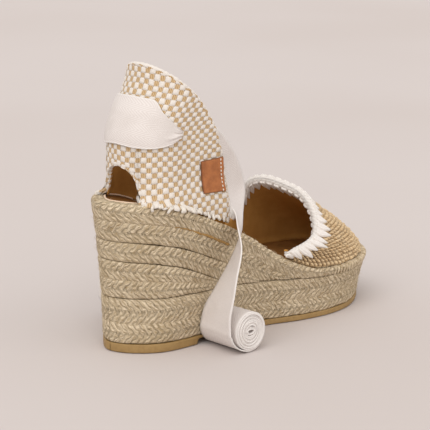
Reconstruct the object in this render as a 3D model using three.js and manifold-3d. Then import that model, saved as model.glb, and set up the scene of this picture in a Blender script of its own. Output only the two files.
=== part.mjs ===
// Wedge espadrille sandal, right foot: a jute-wrapped wedge on a rubber sole, a crocheted toe piece,
// a woven heel tab with an arched cut-out, and one ribbon that passes round the heel and hangs down on both sides.
// Millimetres. +X points to the toe, +Z up, -Y is the outer (lateral) side. The origin is on the floor under mid-sole.
import * as THREE from "three";
import { mergeVertices } from "three/addons/utils/BufferGeometryUtils.js";
import Module from "manifold-3d";

// Driving dimensions
const SOLE_LENGTH = 225;
const HEEL_WIDTH = 59.2;
const FORE_WIDTH = 82.4;
const WAIST_WIDTH = 55.9;
const HEEL_HEIGHT = 102; // floor to the top of the jute at the heel
const PLATFORM_HEIGHT = 35; // floor to the top of the jute under the toes
const WALL_FLARE = 7; // how far the jute wall leans out at its top
const TOE_SPRING = 0.003; // rise of the sole per square millimetre ahead of the ball
const BALL_X = 70;
const GAP = 0.3; // clearance kept between touching pieces

const RUBBER_HEEL = 6;
const RUBBER_FORE = 4;
const SHANK_RECESS = 3.5;
const SHANK_FROM = -62;
const SHANK_TO = -15;

const BASE_TOP_HEEL = 37; // top of the two braids that run round the whole sole
const BASE_TOP_FORE = 30;
const RIM_BRAID = 12.5; // height of one braid at the heel
const RIM_LOWER_DEPTH = 26; // rim top down to the bottom of the second braid
const WEDGE_UPPER_DEPTH = 39.3; // rim top down to the bottom of the third braid
const BRAID_INSET = 6; // inner face of the braids, inside the sole outline
const RIM_INSET = 2; // inner face of the top braid, inside the sole outline
const BRAID_CREASE = 1.3;
const RIM_SHOULDER = 3;

const BOARD_THICKNESS = 1.2;
const SOCK_THICKNESS = 0.9;
const FOOTBED_DROP = 1.5; // footbed below the rim

const COUNTER_RADIUS = 28; // half width of the heel tab, and the radius of its back
const COUNTER_BASE_FLARE = 3;
const COUNTER_TOP = 187.5;
const FABRIC_THICKNESS = 1.5;
const LINING_THICKNESS = 1.2;
const HEM_WIDTH = 3.2;
const ARCH_SIDE_WALL = 4.5;
const ARCH_HALF_WIDTH = COUNTER_RADIUS - ARCH_SIDE_WALL;
const ARCH_TOP = 123;
const SLOT_X = -73.2;
const SLOT_WIDTH = 3.6;
const SLOT_HEIGHT = 9;
const SLOT_Z = 143.5;

const VAMP_HEIGHT = 57; // top of the mouth above the platform
const VAMP_THICKNESS = 2.5;
const VAMP_SEAT = 3; // outer face of the vamp's foot, outside the sole outline
const EDGING_WIDTH = 7.5;
const EDGING_PROUD = 0.6;

const RIBBON_WIDTH = 34;
const RIBBON_THICKNESS = 0.8;
const ROLL_RADIUS = 14;
const ROLL_HOLE = 2.5;
const ROLL_X = -48;
const ROLL_Y = 49; // distance of the roll's middle from the shoe's centre plane

const LABEL = { x0: -57, x1: -37.6, z0: 101, z1: 124, thickness: 1.1 };

const STATIONS = 63; // three to each span of the outline
const HEEL_END = -SOLE_LENGTH / 2;

const wasm = await Module();
wasm.setup();

// ---------- helpers ----------

// A smooth function of x through the given [x, value] pairs, with no overshoot between them.
function profile(pairs) {
  const slopes = pairs.map((pair, i) => {
    if (i === 0 || i === pairs.length - 1) return 0;
    const before = (pair[1] - pairs[i - 1][1]) / (pair[0] - pairs[i - 1][0]);
    const after = (pairs[i + 1][1] - pair[1]) / (pairs[i + 1][0] - pair[0]);
    return before * after <= 0 ? 0 : (2 * before * after) / (before + after);
  });
  return (x) => {
    const last = pairs.length - 1;
    if (x <= pairs[0][0]) return pairs[0][1];
    if (x >= pairs[last][0]) return pairs[last][1];
    const i = pairs.findIndex((pair) => pair[0] > x) - 1;
    const span = pairs[i + 1][0] - pairs[i][0];
    const t = (x - pairs[i][0]) / span;
    const rise = pairs[i + 1][1] - pairs[i][1];
    const a = slopes[i] * span - rise;
    const b = rise - slopes[i + 1] * span;
    return pairs[i][1] + rise * t + t * (1 - t) * (a * (1 - t) + b * t);
  };
}

const smooth = (t) => {
  const c = Math.min(1, Math.max(0, t));
  return c * c * (3 - 2 * c);
};

// A closed body from corner points and triangles, turned so that its faces point out.
function closedBody(points, triangles) {
  let volume = 0;
  for (const [a, b, c] of triangles) {
    volume += points[a].dot(new THREE.Vector3().crossVectors(points[b], points[c]));
  }
  const faces = volume < 0 ? triangles.map(([a, b, c]) => [a, c, b]) : triangles;
  const geometry = new THREE.BufferGeometry();
  geometry.setAttribute("position", new THREE.Float32BufferAttribute(points.flatMap((p) => p.toArray()), 3));
  geometry.setIndex(faces.flat());
  return geometry;
}

// Joins sections, each a list of the same number of points, into one body: a closed loop, or an open run with end caps.
function loft(sections, loop) {
  const around = sections[0].length;
  const points = sections.flat();
  const triangles = [];
  const spans = loop ? sections.length : sections.length - 1;
  for (let i = 0; i < spans; i++) {
    const next = (i + 1) % sections.length;
    for (let j = 0; j < around; j++) {
      const k = (j + 1) % around;
      const corners = [i * around + j, i * around + k, next * around + k, next * around + j];
      triangles.push([corners[0], corners[1], corners[2]], [corners[0], corners[2], corners[3]]);
    }
  }
  if (!loop) {
    const last = (sections.length - 1) * around;
    for (let j = 1; j < around - 1; j++) {
      triangles.push([0, j + 1, j], [last, last + j, last + j + 1]);
    }
  }
  return closedBody(points, triangles);
}

// A thin body between two grids of points of the same size: each grid is a list of rows.
function skin(outer, inner) {
  const sections = outer.map((row, i) => [...row, ...[...inner[i]].reverse()]);
  const columns = outer[0].length;
  const around = columns * 2;
  const points = sections.flat();
  const triangles = [];
  const quad = (a, b, c, d) => triangles.push([a, b, c], [a, c, d]);
  for (let i = 0; i < sections.length - 1; i++) {
    for (let j = 0; j < around; j++) {
      const k = (j + 1) % around;
      const corners = [i * around + j, i * around + k, (i + 1) * around + k, (i + 1) * around + j];
      // Both faces are split along the same diagonal, so that a twisted skin keeps its thickness.
      if (j >= columns) corners.unshift(corners.pop());
      quad(...corners);
    }
  }
  const last = (sections.length - 1) * around;
  for (let j = 0; j < columns - 1; j++) {
    quad(j, around - 1 - j, around - 2 - j, j + 1);
    quad(last + j, last + j + 1, last + around - 2 - j, last + around - 1 - j);
  }
  return closedBody(points, triangles);
}

function toSolid(geometry) {
  const bare = geometry.clone();
  bare.deleteAttribute("normal");
  bare.deleteAttribute("uv");
  const merged = mergeVertices(bare, 1e-4);
  const vertProperties = merged.attributes.position.array;
  const triVerts = new Uint32Array(merged.index.array);
  return new wasm.Manifold(new wasm.Mesh({ numProp: 3, vertProperties, triVerts }));
}

function fromSolid(solid) {
  const { vertProperties, triVerts, numProp } = solid.getMesh();
  const geometry = new THREE.BufferGeometry();
  const position = [];
  for (let i = 0; i < vertProperties.length; i += numProp) {
    position.push(vertProperties[i], vertProperties[i + 1], vertProperties[i + 2]);
  }
  geometry.setAttribute("position", new THREE.Float32BufferAttribute(position, 3));
  geometry.setIndex(Array.from(triVerts));
  return geometry;
}

// A prism across the shoe whose outline is given in side view as [x, z] pairs.
function acrossPrism(outline, fromY, toY) {
  const shape = new THREE.Shape(outline.map(([x, z]) => new THREE.Vector2(x, z)));
  const geometry = new THREE.ExtrudeGeometry(shape, { depth: toY - fromY, bevelEnabled: false });
  geometry.rotateX(Math.PI / 2);
  geometry.translate(0, toY, 0);
  return toSolid(geometry);
}

function block(from, to) {
  const size = to.map((value, i) => value - from[i]);
  const geometry = new THREE.BoxGeometry(...size);
  geometry.translate(...from.map((value, i) => value + size[i] / 2));
  return toSolid(geometry);
}

// ---------- sole outline and heights ----------

const OUTLINE = new THREE.CatmullRomCurve3(
  [
    [-0.5 * SOLE_LENGTH, 0],
    [-0.47 * SOLE_LENGTH, -0.25 * HEEL_WIDTH],
    [-0.4 * SOLE_LENGTH, -0.45 * HEEL_WIDTH],
    [-0.3 * SOLE_LENGTH, -0.5 * HEEL_WIDTH],
    [-0.15 * SOLE_LENGTH, -0.49 * HEEL_WIDTH],
    [0, -0.55 * WAIST_WIDTH],
    [0.12 * SOLE_LENGTH, -0.473 * FORE_WIDTH],
    [0.24 * SOLE_LENGTH, -0.52 * FORE_WIDTH],
    [0.35 * SOLE_LENGTH, -0.47 * FORE_WIDTH],
    [0.44 * SOLE_LENGTH, -0.33 * FORE_WIDTH],
    [0.49 * SOLE_LENGTH, -0.12 * FORE_WIDTH],
    [0.495 * SOLE_LENGTH, 0.1 * FORE_WIDTH],
    [0.45 * SOLE_LENGTH, 0.32 * FORE_WIDTH],
    [0.36 * SOLE_LENGTH, 0.45 * FORE_WIDTH],
    [0.24 * SOLE_LENGTH, 0.48 * FORE_WIDTH],
    [0.1 * SOLE_LENGTH, 0.4 * FORE_WIDTH],
    [-0.05 * SOLE_LENGTH, 0.45 * WAIST_WIDTH],
    [-0.2 * SOLE_LENGTH, 0.45 * HEEL_WIDTH],
    [-0.32 * SOLE_LENGTH, 0.5 * HEEL_WIDTH],
    [-0.42 * SOLE_LENGTH, 0.42 * HEEL_WIDTH],
    [-0.48 * SOLE_LENGTH, 0.2 * HEEL_WIDTH],
  ].map(([x, y]) => new THREE.Vector3(x, y, 0)),
  true,
  "catmullrom",
  0.5,
);

function outlineAt(t) {
  const point = OUTLINE.getPoint(((t % 1) + 1) % 1);
  const tangent = OUTLINE.getTangent(((t % 1) + 1) % 1);
  return { point, normal: new THREE.Vector3(tangent.y, -tangent.x, 0).normalize() };
}

const alongSole = (pairs) => profile(pairs.map(([x, value]) => [x * SOLE_LENGTH, value]));

const rimShape = alongSole([
  [-0.53, 1],
  [-0.46, 0.985],
  [-0.37, 0.925],
  [-0.22, 0.72],
  [-0.107, 0.54],
  [0.04, 0.231],
  [0.115, 0.09],
  [0.18, 0.022],
  [0.3, 0],
  [0.56, 0],
]);
const baseShape = alongSole([
  [-0.53, 1],
  [-0.25, 0.8],
  [-0.05, 0.45],
  [0.1, 0.15],
  [0.2, 0],
  [0.56, 0],
]);
const towardsHeel = alongSole([
  [-0.2, 1],
  [0.05, 0],
]);

const rimHeight = (x) => PLATFORM_HEIGHT + (HEEL_HEIGHT - PLATFORM_HEIGHT) * rimShape(x);
const baseHeight = (x) => BASE_TOP_FORE + (BASE_TOP_HEEL - BASE_TOP_FORE) * baseShape(x);
const rubberHeight = (x) => RUBBER_FORE + (RUBBER_HEEL - RUBBER_FORE) * towardsHeel(x);
const baseSeamHeight = (x) => (rubberHeight(x) + baseHeight(x)) / 2 - 1.5;
const belowRim = (depth) => (x) => Math.max(rimHeight(x) - depth, baseHeight(x));
const seatHeight = belowRim(RIM_BRAID);
const rimLowerHeight = belowRim(RIM_LOWER_DEPTH);
const wedgeUpperHeight = belowRim(WEDGE_UPPER_DEPTH);
const wedgeSeamHeight = (x) => (wedgeUpperHeight(x) + baseHeight(x)) / 2;
const floorHeight = () => 0;

// Toe spring lifts the bottom of the sole fully, and its top less.
const springAt = (x) => (x > BALL_X ? TOE_SPRING * (x - BALL_X) ** 2 : 0);
const sprung = (x, z) => z + springAt(x) * (1 - z / (PLATFORM_HEIGHT + 10));
const flareAt = (x, z) => WALL_FLARE * (z / rimHeight(x)) ** 2;

// A point of the sole, out from the outline at parameter t by the given offset, at a height that is a function of x.
function solePoint(t, offset, height) {
  const { point, normal } = outlineAt(t);
  const x = point.x + normal.x * offset;
  return new THREE.Vector3(x, point.y + normal.y * offset, sprung(x, height(x)));
}

// ---------- jute braids ----------

// One braid's section at t: a flattened oval between two heights, its outer face leaning with the wall.
function braidSection(t, bottom, top, inset, shoulder) {
  const { x } = outlineAt(t).point;
  const height = top(x) - bottom(x) - GAP;
  const round = Math.min(shoulder, height / 3);
  const crease = Math.min(BRAID_CREASE, height / 3);
  const above = (rise) => (at) => bottom(at) + GAP / 2 + rise;
  const under = (drop) => (at) => top(at) - GAP / 2 - drop;
  return [
    solePoint(t, -inset, above(0)),
    solePoint(t, flareAt(x, bottom(x)) - crease, above(0)),
    solePoint(t, flareAt(x, bottom(x) + crease), above(crease)),
    solePoint(t, flareAt(x, top(x) - round), under(round)),
    solePoint(t, flareAt(x, top(x)) - round, under(0)),
    solePoint(t, -inset, under(0)),
  ];
}

function fullBraid(bottom, top, inset = BRAID_INSET, shoulder = BRAID_CREASE) {
  const sections = [];
  for (let i = 0; i < STATIONS; i++) {
    sections.push(braidSection(i / STATIONS, bottom, top, inset, shoulder));
  }
  return loft(sections, true);
}

// The outline parameter where the sole reaches x, on the outer side (-1) or the inner side (1).
function parameterAt(x, side) {
  let near = 0;
  let far = side < 0 ? 0.5 : -0.5;
  for (let i = 0; i < 40; i++) {
    const middle = (near + far) / 2;
    if (outlineAt(middle).point.x < x) near = middle;
    else far = middle;
  }
  return near;
}

// A braid wrapped round the heel only, which thins out to a tip at x = front on both sides.
function heelBraid(bottom, top, front) {
  const from = Math.ceil(parameterAt(front, 1) * STATIONS);
  const to = Math.floor(parameterAt(front, -1) * STATIONS);
  const sections = [];
  for (let i = from; i <= to; i++) {
    sections.push(braidSection(i / STATIONS, bottom, top, BRAID_INSET, BRAID_CREASE));
  }
  return loft(sections, false);
}

// Furthest forward x at which a braid between two heights is still as thick as the given least.
function braidFront(bottom, top, least) {
  let x = HEEL_END;
  while (x < SOLE_LENGTH / 2 && top(x) - bottom(x) > least) x += 0.5;
  return x;
}

// ---------- sole layers ----------

// A layer inside the sole outline between two heights, each a function of x.
function layer(bottom, top, offset) {
  const points = [];
  for (const height of [bottom, top]) {
    for (let i = 0; i < STATIONS; i++) {
      points.push(solePoint(i / STATIONS, offset, height));
    }
  }
  const triangles = [];
  for (let i = 0; i < STATIONS; i++) {
    const next = (i + 1) % STATIONS;
    triangles.push([i, next, STATIONS + next], [i, STATIONS + next, STATIONS + i]);
  }
  for (let i = 0; i < (STATIONS - 1) / 2; i++) {
    const strip = [i, i + 1, STATIONS - i - 1, (STATIONS - i) % STATIONS];
    const faces = i === 0 ? [[0, 1, 2]] : [[0, 1, 2], [0, 2, 3]];
    for (const face of faces) {
      const [a, b, c] = face.map((corner) => strip[corner]);
      triangles.push([a, c, b], [STATIONS + a, STATIONS + b, STATIONS + c]);
    }
  }
  return closedBody(points, triangles);
}

function outsole() {
  const full = toSolid(layer(floorHeight, (x) => rubberHeight(x) - GAP / 2, 0));
  const recess = block([SHANK_FROM, -HEEL_WIDTH, -10], [SHANK_TO, HEEL_WIDTH, SHANK_RECESS]);
  return fromSolid(full.subtract(recess));
}

const boardTop = (x) => seatHeight(x) + GAP / 2 + BOARD_THICKNESS;
const footbedTop = (x) => rimHeight(x) - FOOTBED_DROP;
const sockBottom = (x) => footbedTop(x) - SOCK_THICKNESS;
const core = () => layer((x) => rubberHeight(x) + GAP / 2, (x) => seatHeight(x) - GAP, -BRAID_INSET - GAP);
const insoleBoard = () => layer((x) => seatHeight(x) + GAP / 2, boardTop, -RIM_INSET - GAP);
const insoleFoam = () => layer((x) => boardTop(x) + GAP, (x) => sockBottom(x) - GAP, -RIM_INSET - GAP);
const sockLiner = () => layer(sockBottom, footbedTop, -RIM_INSET - GAP);

// ---------- heel tab ----------

const backProfile = profile([
  [95, 0],
  [138, 0.5],
  [157, 7],
  [169, 14],
  [180, 18],
  [COUNTER_TOP, 19],
]);
const COUNTER_BACK = HEEL_END + 7.5;
const WING_FRONT = -34;

// A point of the heel tab, at distance s round it from the back centre, pushed out by the given offset.
function counterPoint(s, z, offset) {
  const half = COUNTER_RADIUS + COUNTER_BASE_FLARE * smooth((115 - z) / 22);
  const centre = COUNTER_BACK + backProfile(z) + COUNTER_RADIUS;
  const radius = half + offset;
  const side = Math.sign(s);
  const quarter = (Math.PI / 2) * COUNTER_RADIUS;
  const along = Math.abs(s);
  if (along < quarter) {
    const angle = along / COUNTER_RADIUS;
    return new THREE.Vector3(centre - radius * Math.cos(angle), -side * radius * Math.sin(angle), z);
  }
  return new THREE.Vector3(centre + along - quarter, -side * radius, z);
}

// The heel tab's U-shaped wall between two offsets, taller and longer than the tab, which is cut out of it.
function counterWall(outside, inside) {
  const levels = [72, 94, 99, 105, 111, 118, 138, 148, 157, 163, 169, 175, 181, COUNTER_TOP + 3];
  const back = 9;
  const reach = [...Array(back + 1).keys()].map((i) => (i / back) * (Math.PI / 2) * COUNTER_RADIUS);
  reach.push(reach[back] + 24, reach[back] + 52);
  const around = [...reach.slice(1).reverse().map((s) => -s), ...reach];
  const grid = (offset) => levels.map((z) => around.map((s) => counterPoint(s, z, offset)));
  return toSolid(skin(grid(outside), grid(inside)));
}

// Side view of the heel tab, drawn in from its top and front edge by the given margin, and let down under the rim line.
function tabOutline(margin, letDown = 0) {
  const edge = new THREE.SplineCurve(
    [
      [-88, COUNTER_TOP],
      [-84.5, COUNTER_TOP - 1],
      [-75, 179.5],
      [-60.4, 167],
      [-48.2, 152],
      [-39.7, 133.5],
      [-35.5, 113.5],
      [WING_FRONT, 96],
      [WING_FRONT + 0.5, 84],
    ].map(([x, z]) => new THREE.Vector2(x, z)),
  );
  const outline = [[-130, COUNTER_TOP - margin]];
  const steps = 20;
  for (let i = 0; i <= steps; i++) {
    const point = edge.getPoint(i / steps);
    const tangent = edge.getTangent(i / steps);
    outline.push([point.x + tangent.y * margin, point.y - tangent.x * margin]);
  }
  const front = outline[outline.length - 1][0];
  for (let x = front; x > HEEL_END - 12; x -= 9) {
    outline.push([x, rimHeight(x) + GAP + 0.05 - letDown]);
  }
  outline.push([-130, HEEL_HEIGHT + GAP - letDown]);
  return outline;
}

// The arched cut-out at the back, grown by the given margin, as a prism along X.
function archPrism(margin) {
  const half = ARCH_HALF_WIDTH + margin;
  const top = ARCH_TOP + margin;
  const spring = 103;
  const outline = [[-half, 60]];
  const steps = 14;
  for (let i = 0; i <= steps; i++) {
    const angle = Math.PI * (1 - i / steps);
    outline.push([half * Math.cos(angle), spring + (top - spring) * Math.sin(angle) ** 0.8]);
  }
  outline.push([half, 60]);
  const shape = new THREE.Shape(outline.map(([y, z]) => new THREE.Vector2(y, z)));
  const geometry = new THREE.ExtrudeGeometry(shape, { depth: 34, bevelEnabled: false });
  geometry.rotateX(Math.PI / 2);
  geometry.rotateZ(Math.PI / 2);
  geometry.translate(HEEL_END - 12, 0, 0);
  return toSolid(geometry);
}

function slots() {
  const cut = (from, to) =>
    block(
      [SLOT_X - SLOT_WIDTH / 2, from, SLOT_Z - SLOT_HEIGHT / 2],
      [SLOT_X + SLOT_WIDTH / 2, to, SLOT_Z + SLOT_HEIGHT / 2],
    );
  return cut(-40, -20).add(cut(20, 40));
}

function counterLayer(outside, inside) {
  const tab = counterWall(outside, inside).intersect(acrossPrism(tabOutline(HEM_WIDTH + GAP), -50, 50));
  return fromSolid(tab.subtract(archPrism(HEM_WIDTH + GAP)).subtract(slots()));
}

const TAB_DEPTH = FABRIC_THICKNESS + GAP + LINING_THICKNESS;

function topHem() {
  const inside = acrossPrism(tabOutline(HEM_WIDTH, 2 * HEM_WIDTH), -50, 50);
  const band = acrossPrism(tabOutline(0), -50, 50).subtract(inside);
  return fromSolid(counterWall(0, -TAB_DEPTH).intersect(band));
}

function archHem() {
  const band = archPrism(HEM_WIDTH).subtract(archPrism(0));
  const clear = acrossPrism(tabOutline(0), -50, 50);
  return fromSolid(counterWall(0, -TAB_DEPTH).intersect(band).intersect(clear));
}

function label() {
  const { x0, x1, z0, z1, thickness } = LABEL;
  const side = [
    [x0, z0 + 1],
    [x1, z0],
    [x1 - 0.8, z1],
    [x0 - 0.8, z1 - 0.5],
  ];
  return fromSolid(counterWall(GAP + thickness, GAP).intersect(acrossPrism(side, -50, 0)));
}

// ---------- crocheted toe piece ----------

const MOUTH = new THREE.CatmullRomCurve3(
  [
    [0.04, -0.487, 0.277],
    [0.116, -0.498, 0.351],
    [0.187, -0.45, 0.43],
    [0.218, -0.388, 0.555],
    [0.24, -0.291, 0.702],
    [0.249, -0.146, 0.851],
    [0.231, 0.024, 0.945],
    [0.2, 0.194, 1],
    [0.164, 0.328, 0.93],
    [0.12, 0.425, 0.702],
    [0.044, 0.465, 0.289],
  ].map(([x, y, z]) => new THREE.Vector3(x * SOLE_LENGTH, y * FORE_WIDTH, PLATFORM_HEIGHT + z * VAMP_HEIGHT)),
);
const VAMP_FOOT_X = 0.075 * SOLE_LENGTH; // where the toe piece meets the rim, on both sides
const VAMP_COLUMNS = 26;
const VAMP_ROWS = 7;

// The outer face of the toe piece: u runs round the mouth from the outer to the inner side, v from the rim up to the mouth.
function vampPoint(u, v) {
  const from = parameterAt(VAMP_FOOT_X, -1);
  const to = 1 + parameterAt(VAMP_FOOT_X, 1);
  const t = from + (to - from) * u;
  const { normal } = outlineAt(t);
  const foot = solePoint(t, VAMP_SEAT, rimHeight);
  foot.z += GAP + 0.05;
  const mouth = MOUTH.getPointAt(u);
  const span = mouth.distanceTo(foot);
  const toe = Math.abs(normal.x) * Math.sin(Math.PI * u);
  const outward = normal.clone().multiplyScalar(1 - toe);
  outward.z = 0.4 + toe;
  const rise = foot.clone().addScaledVector(normal, -0.06 * span);
  rise.z += span * (0.32 - 0.12 * toe);
  const shoulder = mouth.clone().lerp(foot, 0.4).addScaledVector(outward.normalize(), span * (0.12 - 0.1 * toe));
  return new THREE.CubicBezierCurve3(foot, rise, shoulder, mouth).getPoint(v);
}

const vampSpan = (u) => vampPoint(u, 1).distanceTo(vampPoint(u, 0));

// One layer of the toe piece between two shares of its height, with its faces at two depths under the outer face.
function vampLayer(start, end, rows, outside, inside) {
  const step = 0.004;
  const grids = [outside, inside].map(() => []);
  for (let i = 0; i <= VAMP_COLUMNS; i++) {
    const u = i / VAMP_COLUMNS;
    const columns = grids.map(() => []);
    for (let j = 0; j <= rows; j++) {
      const v = start(u) + ((end(u) - start(u)) * j) / rows;
      const point = vampPoint(u, v);
      const acrossU = vampPoint(Math.min(1, u + step), v).sub(vampPoint(Math.max(0, u - step), v));
      const acrossV = vampPoint(u, Math.min(1, v + step)).sub(vampPoint(u, Math.max(0, v - step)));
      const normal = new THREE.Vector3().crossVectors(acrossU, acrossV).normalize();
      [outside, inside].forEach((depth, side) => {
        const moved = point.clone().addScaledVector(normal, -depth);
        if (v === 0) moved.z = point.z;
        moved.z = Math.max(moved.z, point.z - Math.abs(depth) * 0.98);
        columns[side].push(moved);
      });
    }
    grids.forEach((grid, side) => grid.push(columns[side]));
  }
  return skin(grids[0], grids[1]);
}

const atFoot = () => 0;
const atMouth = () => 1;
const edgingStart = (u) => Math.max(0.2, 1 - EDGING_WIDTH / vampSpan(u));
const belowEdging = (u) => edgingStart(u) - (1.6 * GAP) / vampSpan(u);
const vampRaffia = () => vampLayer(atFoot, belowEdging, VAMP_ROWS, 0, VAMP_THICKNESS);
const vampLining = () =>
  vampLayer(
    atFoot,
    belowEdging,
    VAMP_ROWS,
    VAMP_THICKNESS + GAP,
    VAMP_THICKNESS + GAP + LINING_THICKNESS,
  );
const vampEdging = () =>
  vampLayer(edgingStart, atMouth, 2, -EDGING_PROUD, VAMP_THICKNESS + GAP + LINING_THICKNESS);

// ---------- ribbon ----------

// The band that passes round the outside of the heel tab, gathered at the slot on each side.
function heelLoop() {
  const side = [
    [HEEL_END, 169],
    [-91, 168.5],
    [-87.5, 166],
    [-84.5, 158.5],
    [-80.8, 152.5],
    [SLOT_X - SLOT_WIDTH / 2 - GAP, 146.6],
    [SLOT_X - SLOT_WIDTH / 2 - GAP, 141],
    [-81.8, 138.3],
    [-90, 136.3],
    [-96, 135.8],
    [-102, 136.6],
    [HEEL_END, 138],
  ];
  return fromSolid(counterWall(GAP + RIBBON_THICKNESS, GAP).intersect(acrossPrism(side, -50, 50)));
}

// The two edges of the ribbon on the outer side, from the slot to the roll on the floor: [front edge, back edge].
const RIBBON_INSIDE = COUNTER_RADIUS - TAB_DEPTH - 1;
const RIBBON_UPPER = [
  [[-73.4, -COUNTER_RADIUS - 0.75, 146.6], [-73.4, -COUNTER_RADIUS - 0.75, 140.4]],
  [[-72.6, -RIBBON_INSIDE - 1, 147], [-72.6, -RIBBON_INSIDE - 1, 140]],
  [[-66, -RIBBON_INSIDE - 0.2, 148], [-68, -RIBBON_INSIDE - 0.2, 137.5]],
  [[-55, -RIBBON_INSIDE, 148.5], [-62, -RIBBON_INSIDE, 133]],
  [[-38.3, -RIBBON_INSIDE, 142.4], [-54, -RIBBON_INSIDE, 122]],
  [[-24.3, -RIBBON_INSIDE + 1, 130], [-48, -RIBBON_INSIDE, 113]],
  [[-14, -20, 112], [-40, -RIBBON_INSIDE + 0.5, 101]],
  [[-9, -18.6, 92], [-31.5, -25, 93]],
  [[-12, -22, 84.5], [-31.5, -34, 88]],
  [[-21, -30.5, 79.5], [-42, -48, 82]],
];
// The tail comes down just behind the roll, which it is wound into.
const TAIL_BACK = ROLL_X - ROLL_RADIUS - 0.8;
const RIBBON_TAIL = [
  [[-21.8, -31.4, 78.9], [-42.8, -48.9, 81.3]],
  [[-29, -38.6, 74.6], [-51.5, -60.5, 70]],
  [[-33, -39.8, 58], [-56, -65, 52]],
  [[TAIL_BACK + 17.8, -35, ROLL_RADIUS + 24], [TAIL_BACK + 2.3, -66, ROLL_RADIUS + 24]],
  [[TAIL_BACK + 4.3, -32, (ROLL_RADIUS * 13) / 7], [TAIL_BACK, -66, ROLL_RADIUS + 11]],
  [[TAIL_BACK, -32, ROLL_RADIUS + 1], [TAIL_BACK, -66, ROLL_RADIUS + 1]],
];

function ribbonStrip(edges, side, spans) {
  const curves = [0, 1].map((edge) => {
    const points = edges.map((pair) => new THREE.Vector3(pair[edge][0], pair[edge][1] * side, pair[edge][2]));
    return new THREE.CatmullRomCurve3(points, false, "centripetal");
  });
  const at = (i) => curves.map((curve) => curve.getPoint(i / spans));
  const faces = [[], []];
  for (let i = 0; i <= spans; i++) {
    const [front, back] = at(i);
    const before = at(Math.max(0, i - 0.5));
    const after = at(Math.min(spans, i + 0.5));
    const ahead = after[0].add(after[1]).sub(before[0]).sub(before[1]);
    const normal = new THREE.Vector3().crossVectors(ahead, front.clone().sub(back)).normalize();
    faces.forEach((face, k) => {
      const shift = normal.clone().multiplyScalar((k - 0.5) * RIBBON_THICKNESS);
      face.push([front.clone().add(shift), front.clone().lerp(back, 0.5).add(shift), back.clone().add(shift)]);
    });
  }
  return skin(faces[0], faces[1]);
}

// The rolled end of the ribbon, lying on its edge turns beside the heel with its axis across the shoe.
function ribbonRoll(side) {
  const half = RIBBON_WIDTH / 2;
  const section = [
    new THREE.Vector2(ROLL_HOLE, -half),
    new THREE.Vector2(ROLL_RADIUS, -half),
    new THREE.Vector2(ROLL_RADIUS, half),
    new THREE.Vector2(ROLL_HOLE, half),
    new THREE.Vector2(ROLL_HOLE, -half),
  ];
  const geometry = new THREE.LatheGeometry(section, 28);
  geometry.translate(ROLL_X, side * ROLL_Y, ROLL_RADIUS);
  return geometry;
}

// ---------- assembly ----------

const finishes = {
  rubber: new THREE.MeshStandardMaterial({ color: 0xa8864b, roughness: 0.7, metalness: 0 }),
  jute: new THREE.MeshStandardMaterial({ color: 0xc3af8c, roughness: 0.9, metalness: 0 }),
  cork: new THREE.MeshStandardMaterial({ color: 0x9a7850, roughness: 0.9, metalness: 0 }),
  board: new THREE.MeshStandardMaterial({ color: 0x7b5a3a, roughness: 0.8, metalness: 0 }),
  foam: new THREE.MeshStandardMaterial({ color: 0xd8cfb8, roughness: 0.9, metalness: 0 }),
  suede: new THREE.MeshStandardMaterial({ color: 0x8b6230, roughness: 0.95, metalness: 0 }),
  check: new THREE.MeshStandardMaterial({ color: 0xd9c6a6, roughness: 0.9, metalness: 0 }),
  cotton: new THREE.MeshStandardMaterial({ color: 0xe9e2da, roughness: 0.9, metalness: 0 }),
  raffia: new THREE.MeshStandardMaterial({ color: 0xd7b98c, roughness: 0.8, metalness: 0 }),
  leather: new THREE.MeshStandardMaterial({ color: 0xaf6937, roughness: 0.55, metalness: 0 }),
  ribbon: new THREE.MeshStandardMaterial({ color: 0xe4dcd4, roughness: 0.85, metalness: 0 }),
};

const shoe = new THREE.Group();

function place(name, geometry, finish, parent = shoe) {
  const mesh = new THREE.Mesh(geometry, finishes[finish].clone());
  mesh.name = name;
  parent.add(mesh);
}

const LEAST_BRAID = 2.4;

place("outsole_rubber", outsole(), "rubber");
place("wedge_core", core(), "cork");
place("insole_board", insoleBoard(), "board");
place("insole_foam", insoleFoam(), "foam");
place("sock_liner", sockLiner(), "suede");

place("base_braid_lower", fullBraid(rubberHeight, baseSeamHeight), "jute");
place("base_braid_upper", fullBraid(baseSeamHeight, baseHeight), "jute");
[
  ["wedge_braid_lower", baseHeight, wedgeSeamHeight],
  ["wedge_braid_middle", wedgeSeamHeight, wedgeUpperHeight],
  ["wedge_braid_upper", wedgeUpperHeight, rimLowerHeight],
  ["rim_braid_lower", rimLowerHeight, seatHeight],
].forEach(([name, bottom, top]) => {
  place(name, heelBraid(bottom, top, braidFront(bottom, top, LEAST_BRAID)), "jute");
});
place("rim_braid_upper", fullBraid(seatHeight, rimHeight, RIM_INSET, RIM_SHOULDER), "jute");

place("counter_fabric", counterLayer(0, -FABRIC_THICKNESS), "check");
place("counter_lining", counterLayer(-FABRIC_THICKNESS - GAP, -TAB_DEPTH), "suede");
place("counter_top_hem", topHem(), "cotton");
place("arch_hem", archHem(), "cotton");
place("leather_label", label(), "leather");

place("vamp_raffia", vampRaffia(), "raffia");
place("vamp_lining", vampLining(), "suede");
place("vamp_edging", vampEdging(), "cotton");

place("ribbon_heel_loop", heelLoop(), "ribbon");
[
  ["lateral", 1],
  ["medial", -1],
].forEach(([name, side]) => {
  const tail = new THREE.Group();
  place(`ribbon_upper_${name}`, ribbonStrip(RIBBON_UPPER, side, 24), "ribbon");
  place(`ribbon_tail_${name}`, ribbonStrip(RIBBON_TAIL, side, 16), "ribbon", tail);
  place(`ribbon_roll_${name}`, ribbonRoll(-side), "ribbon", tail);
  shoe.add(tail);
});

export default shoe;
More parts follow.
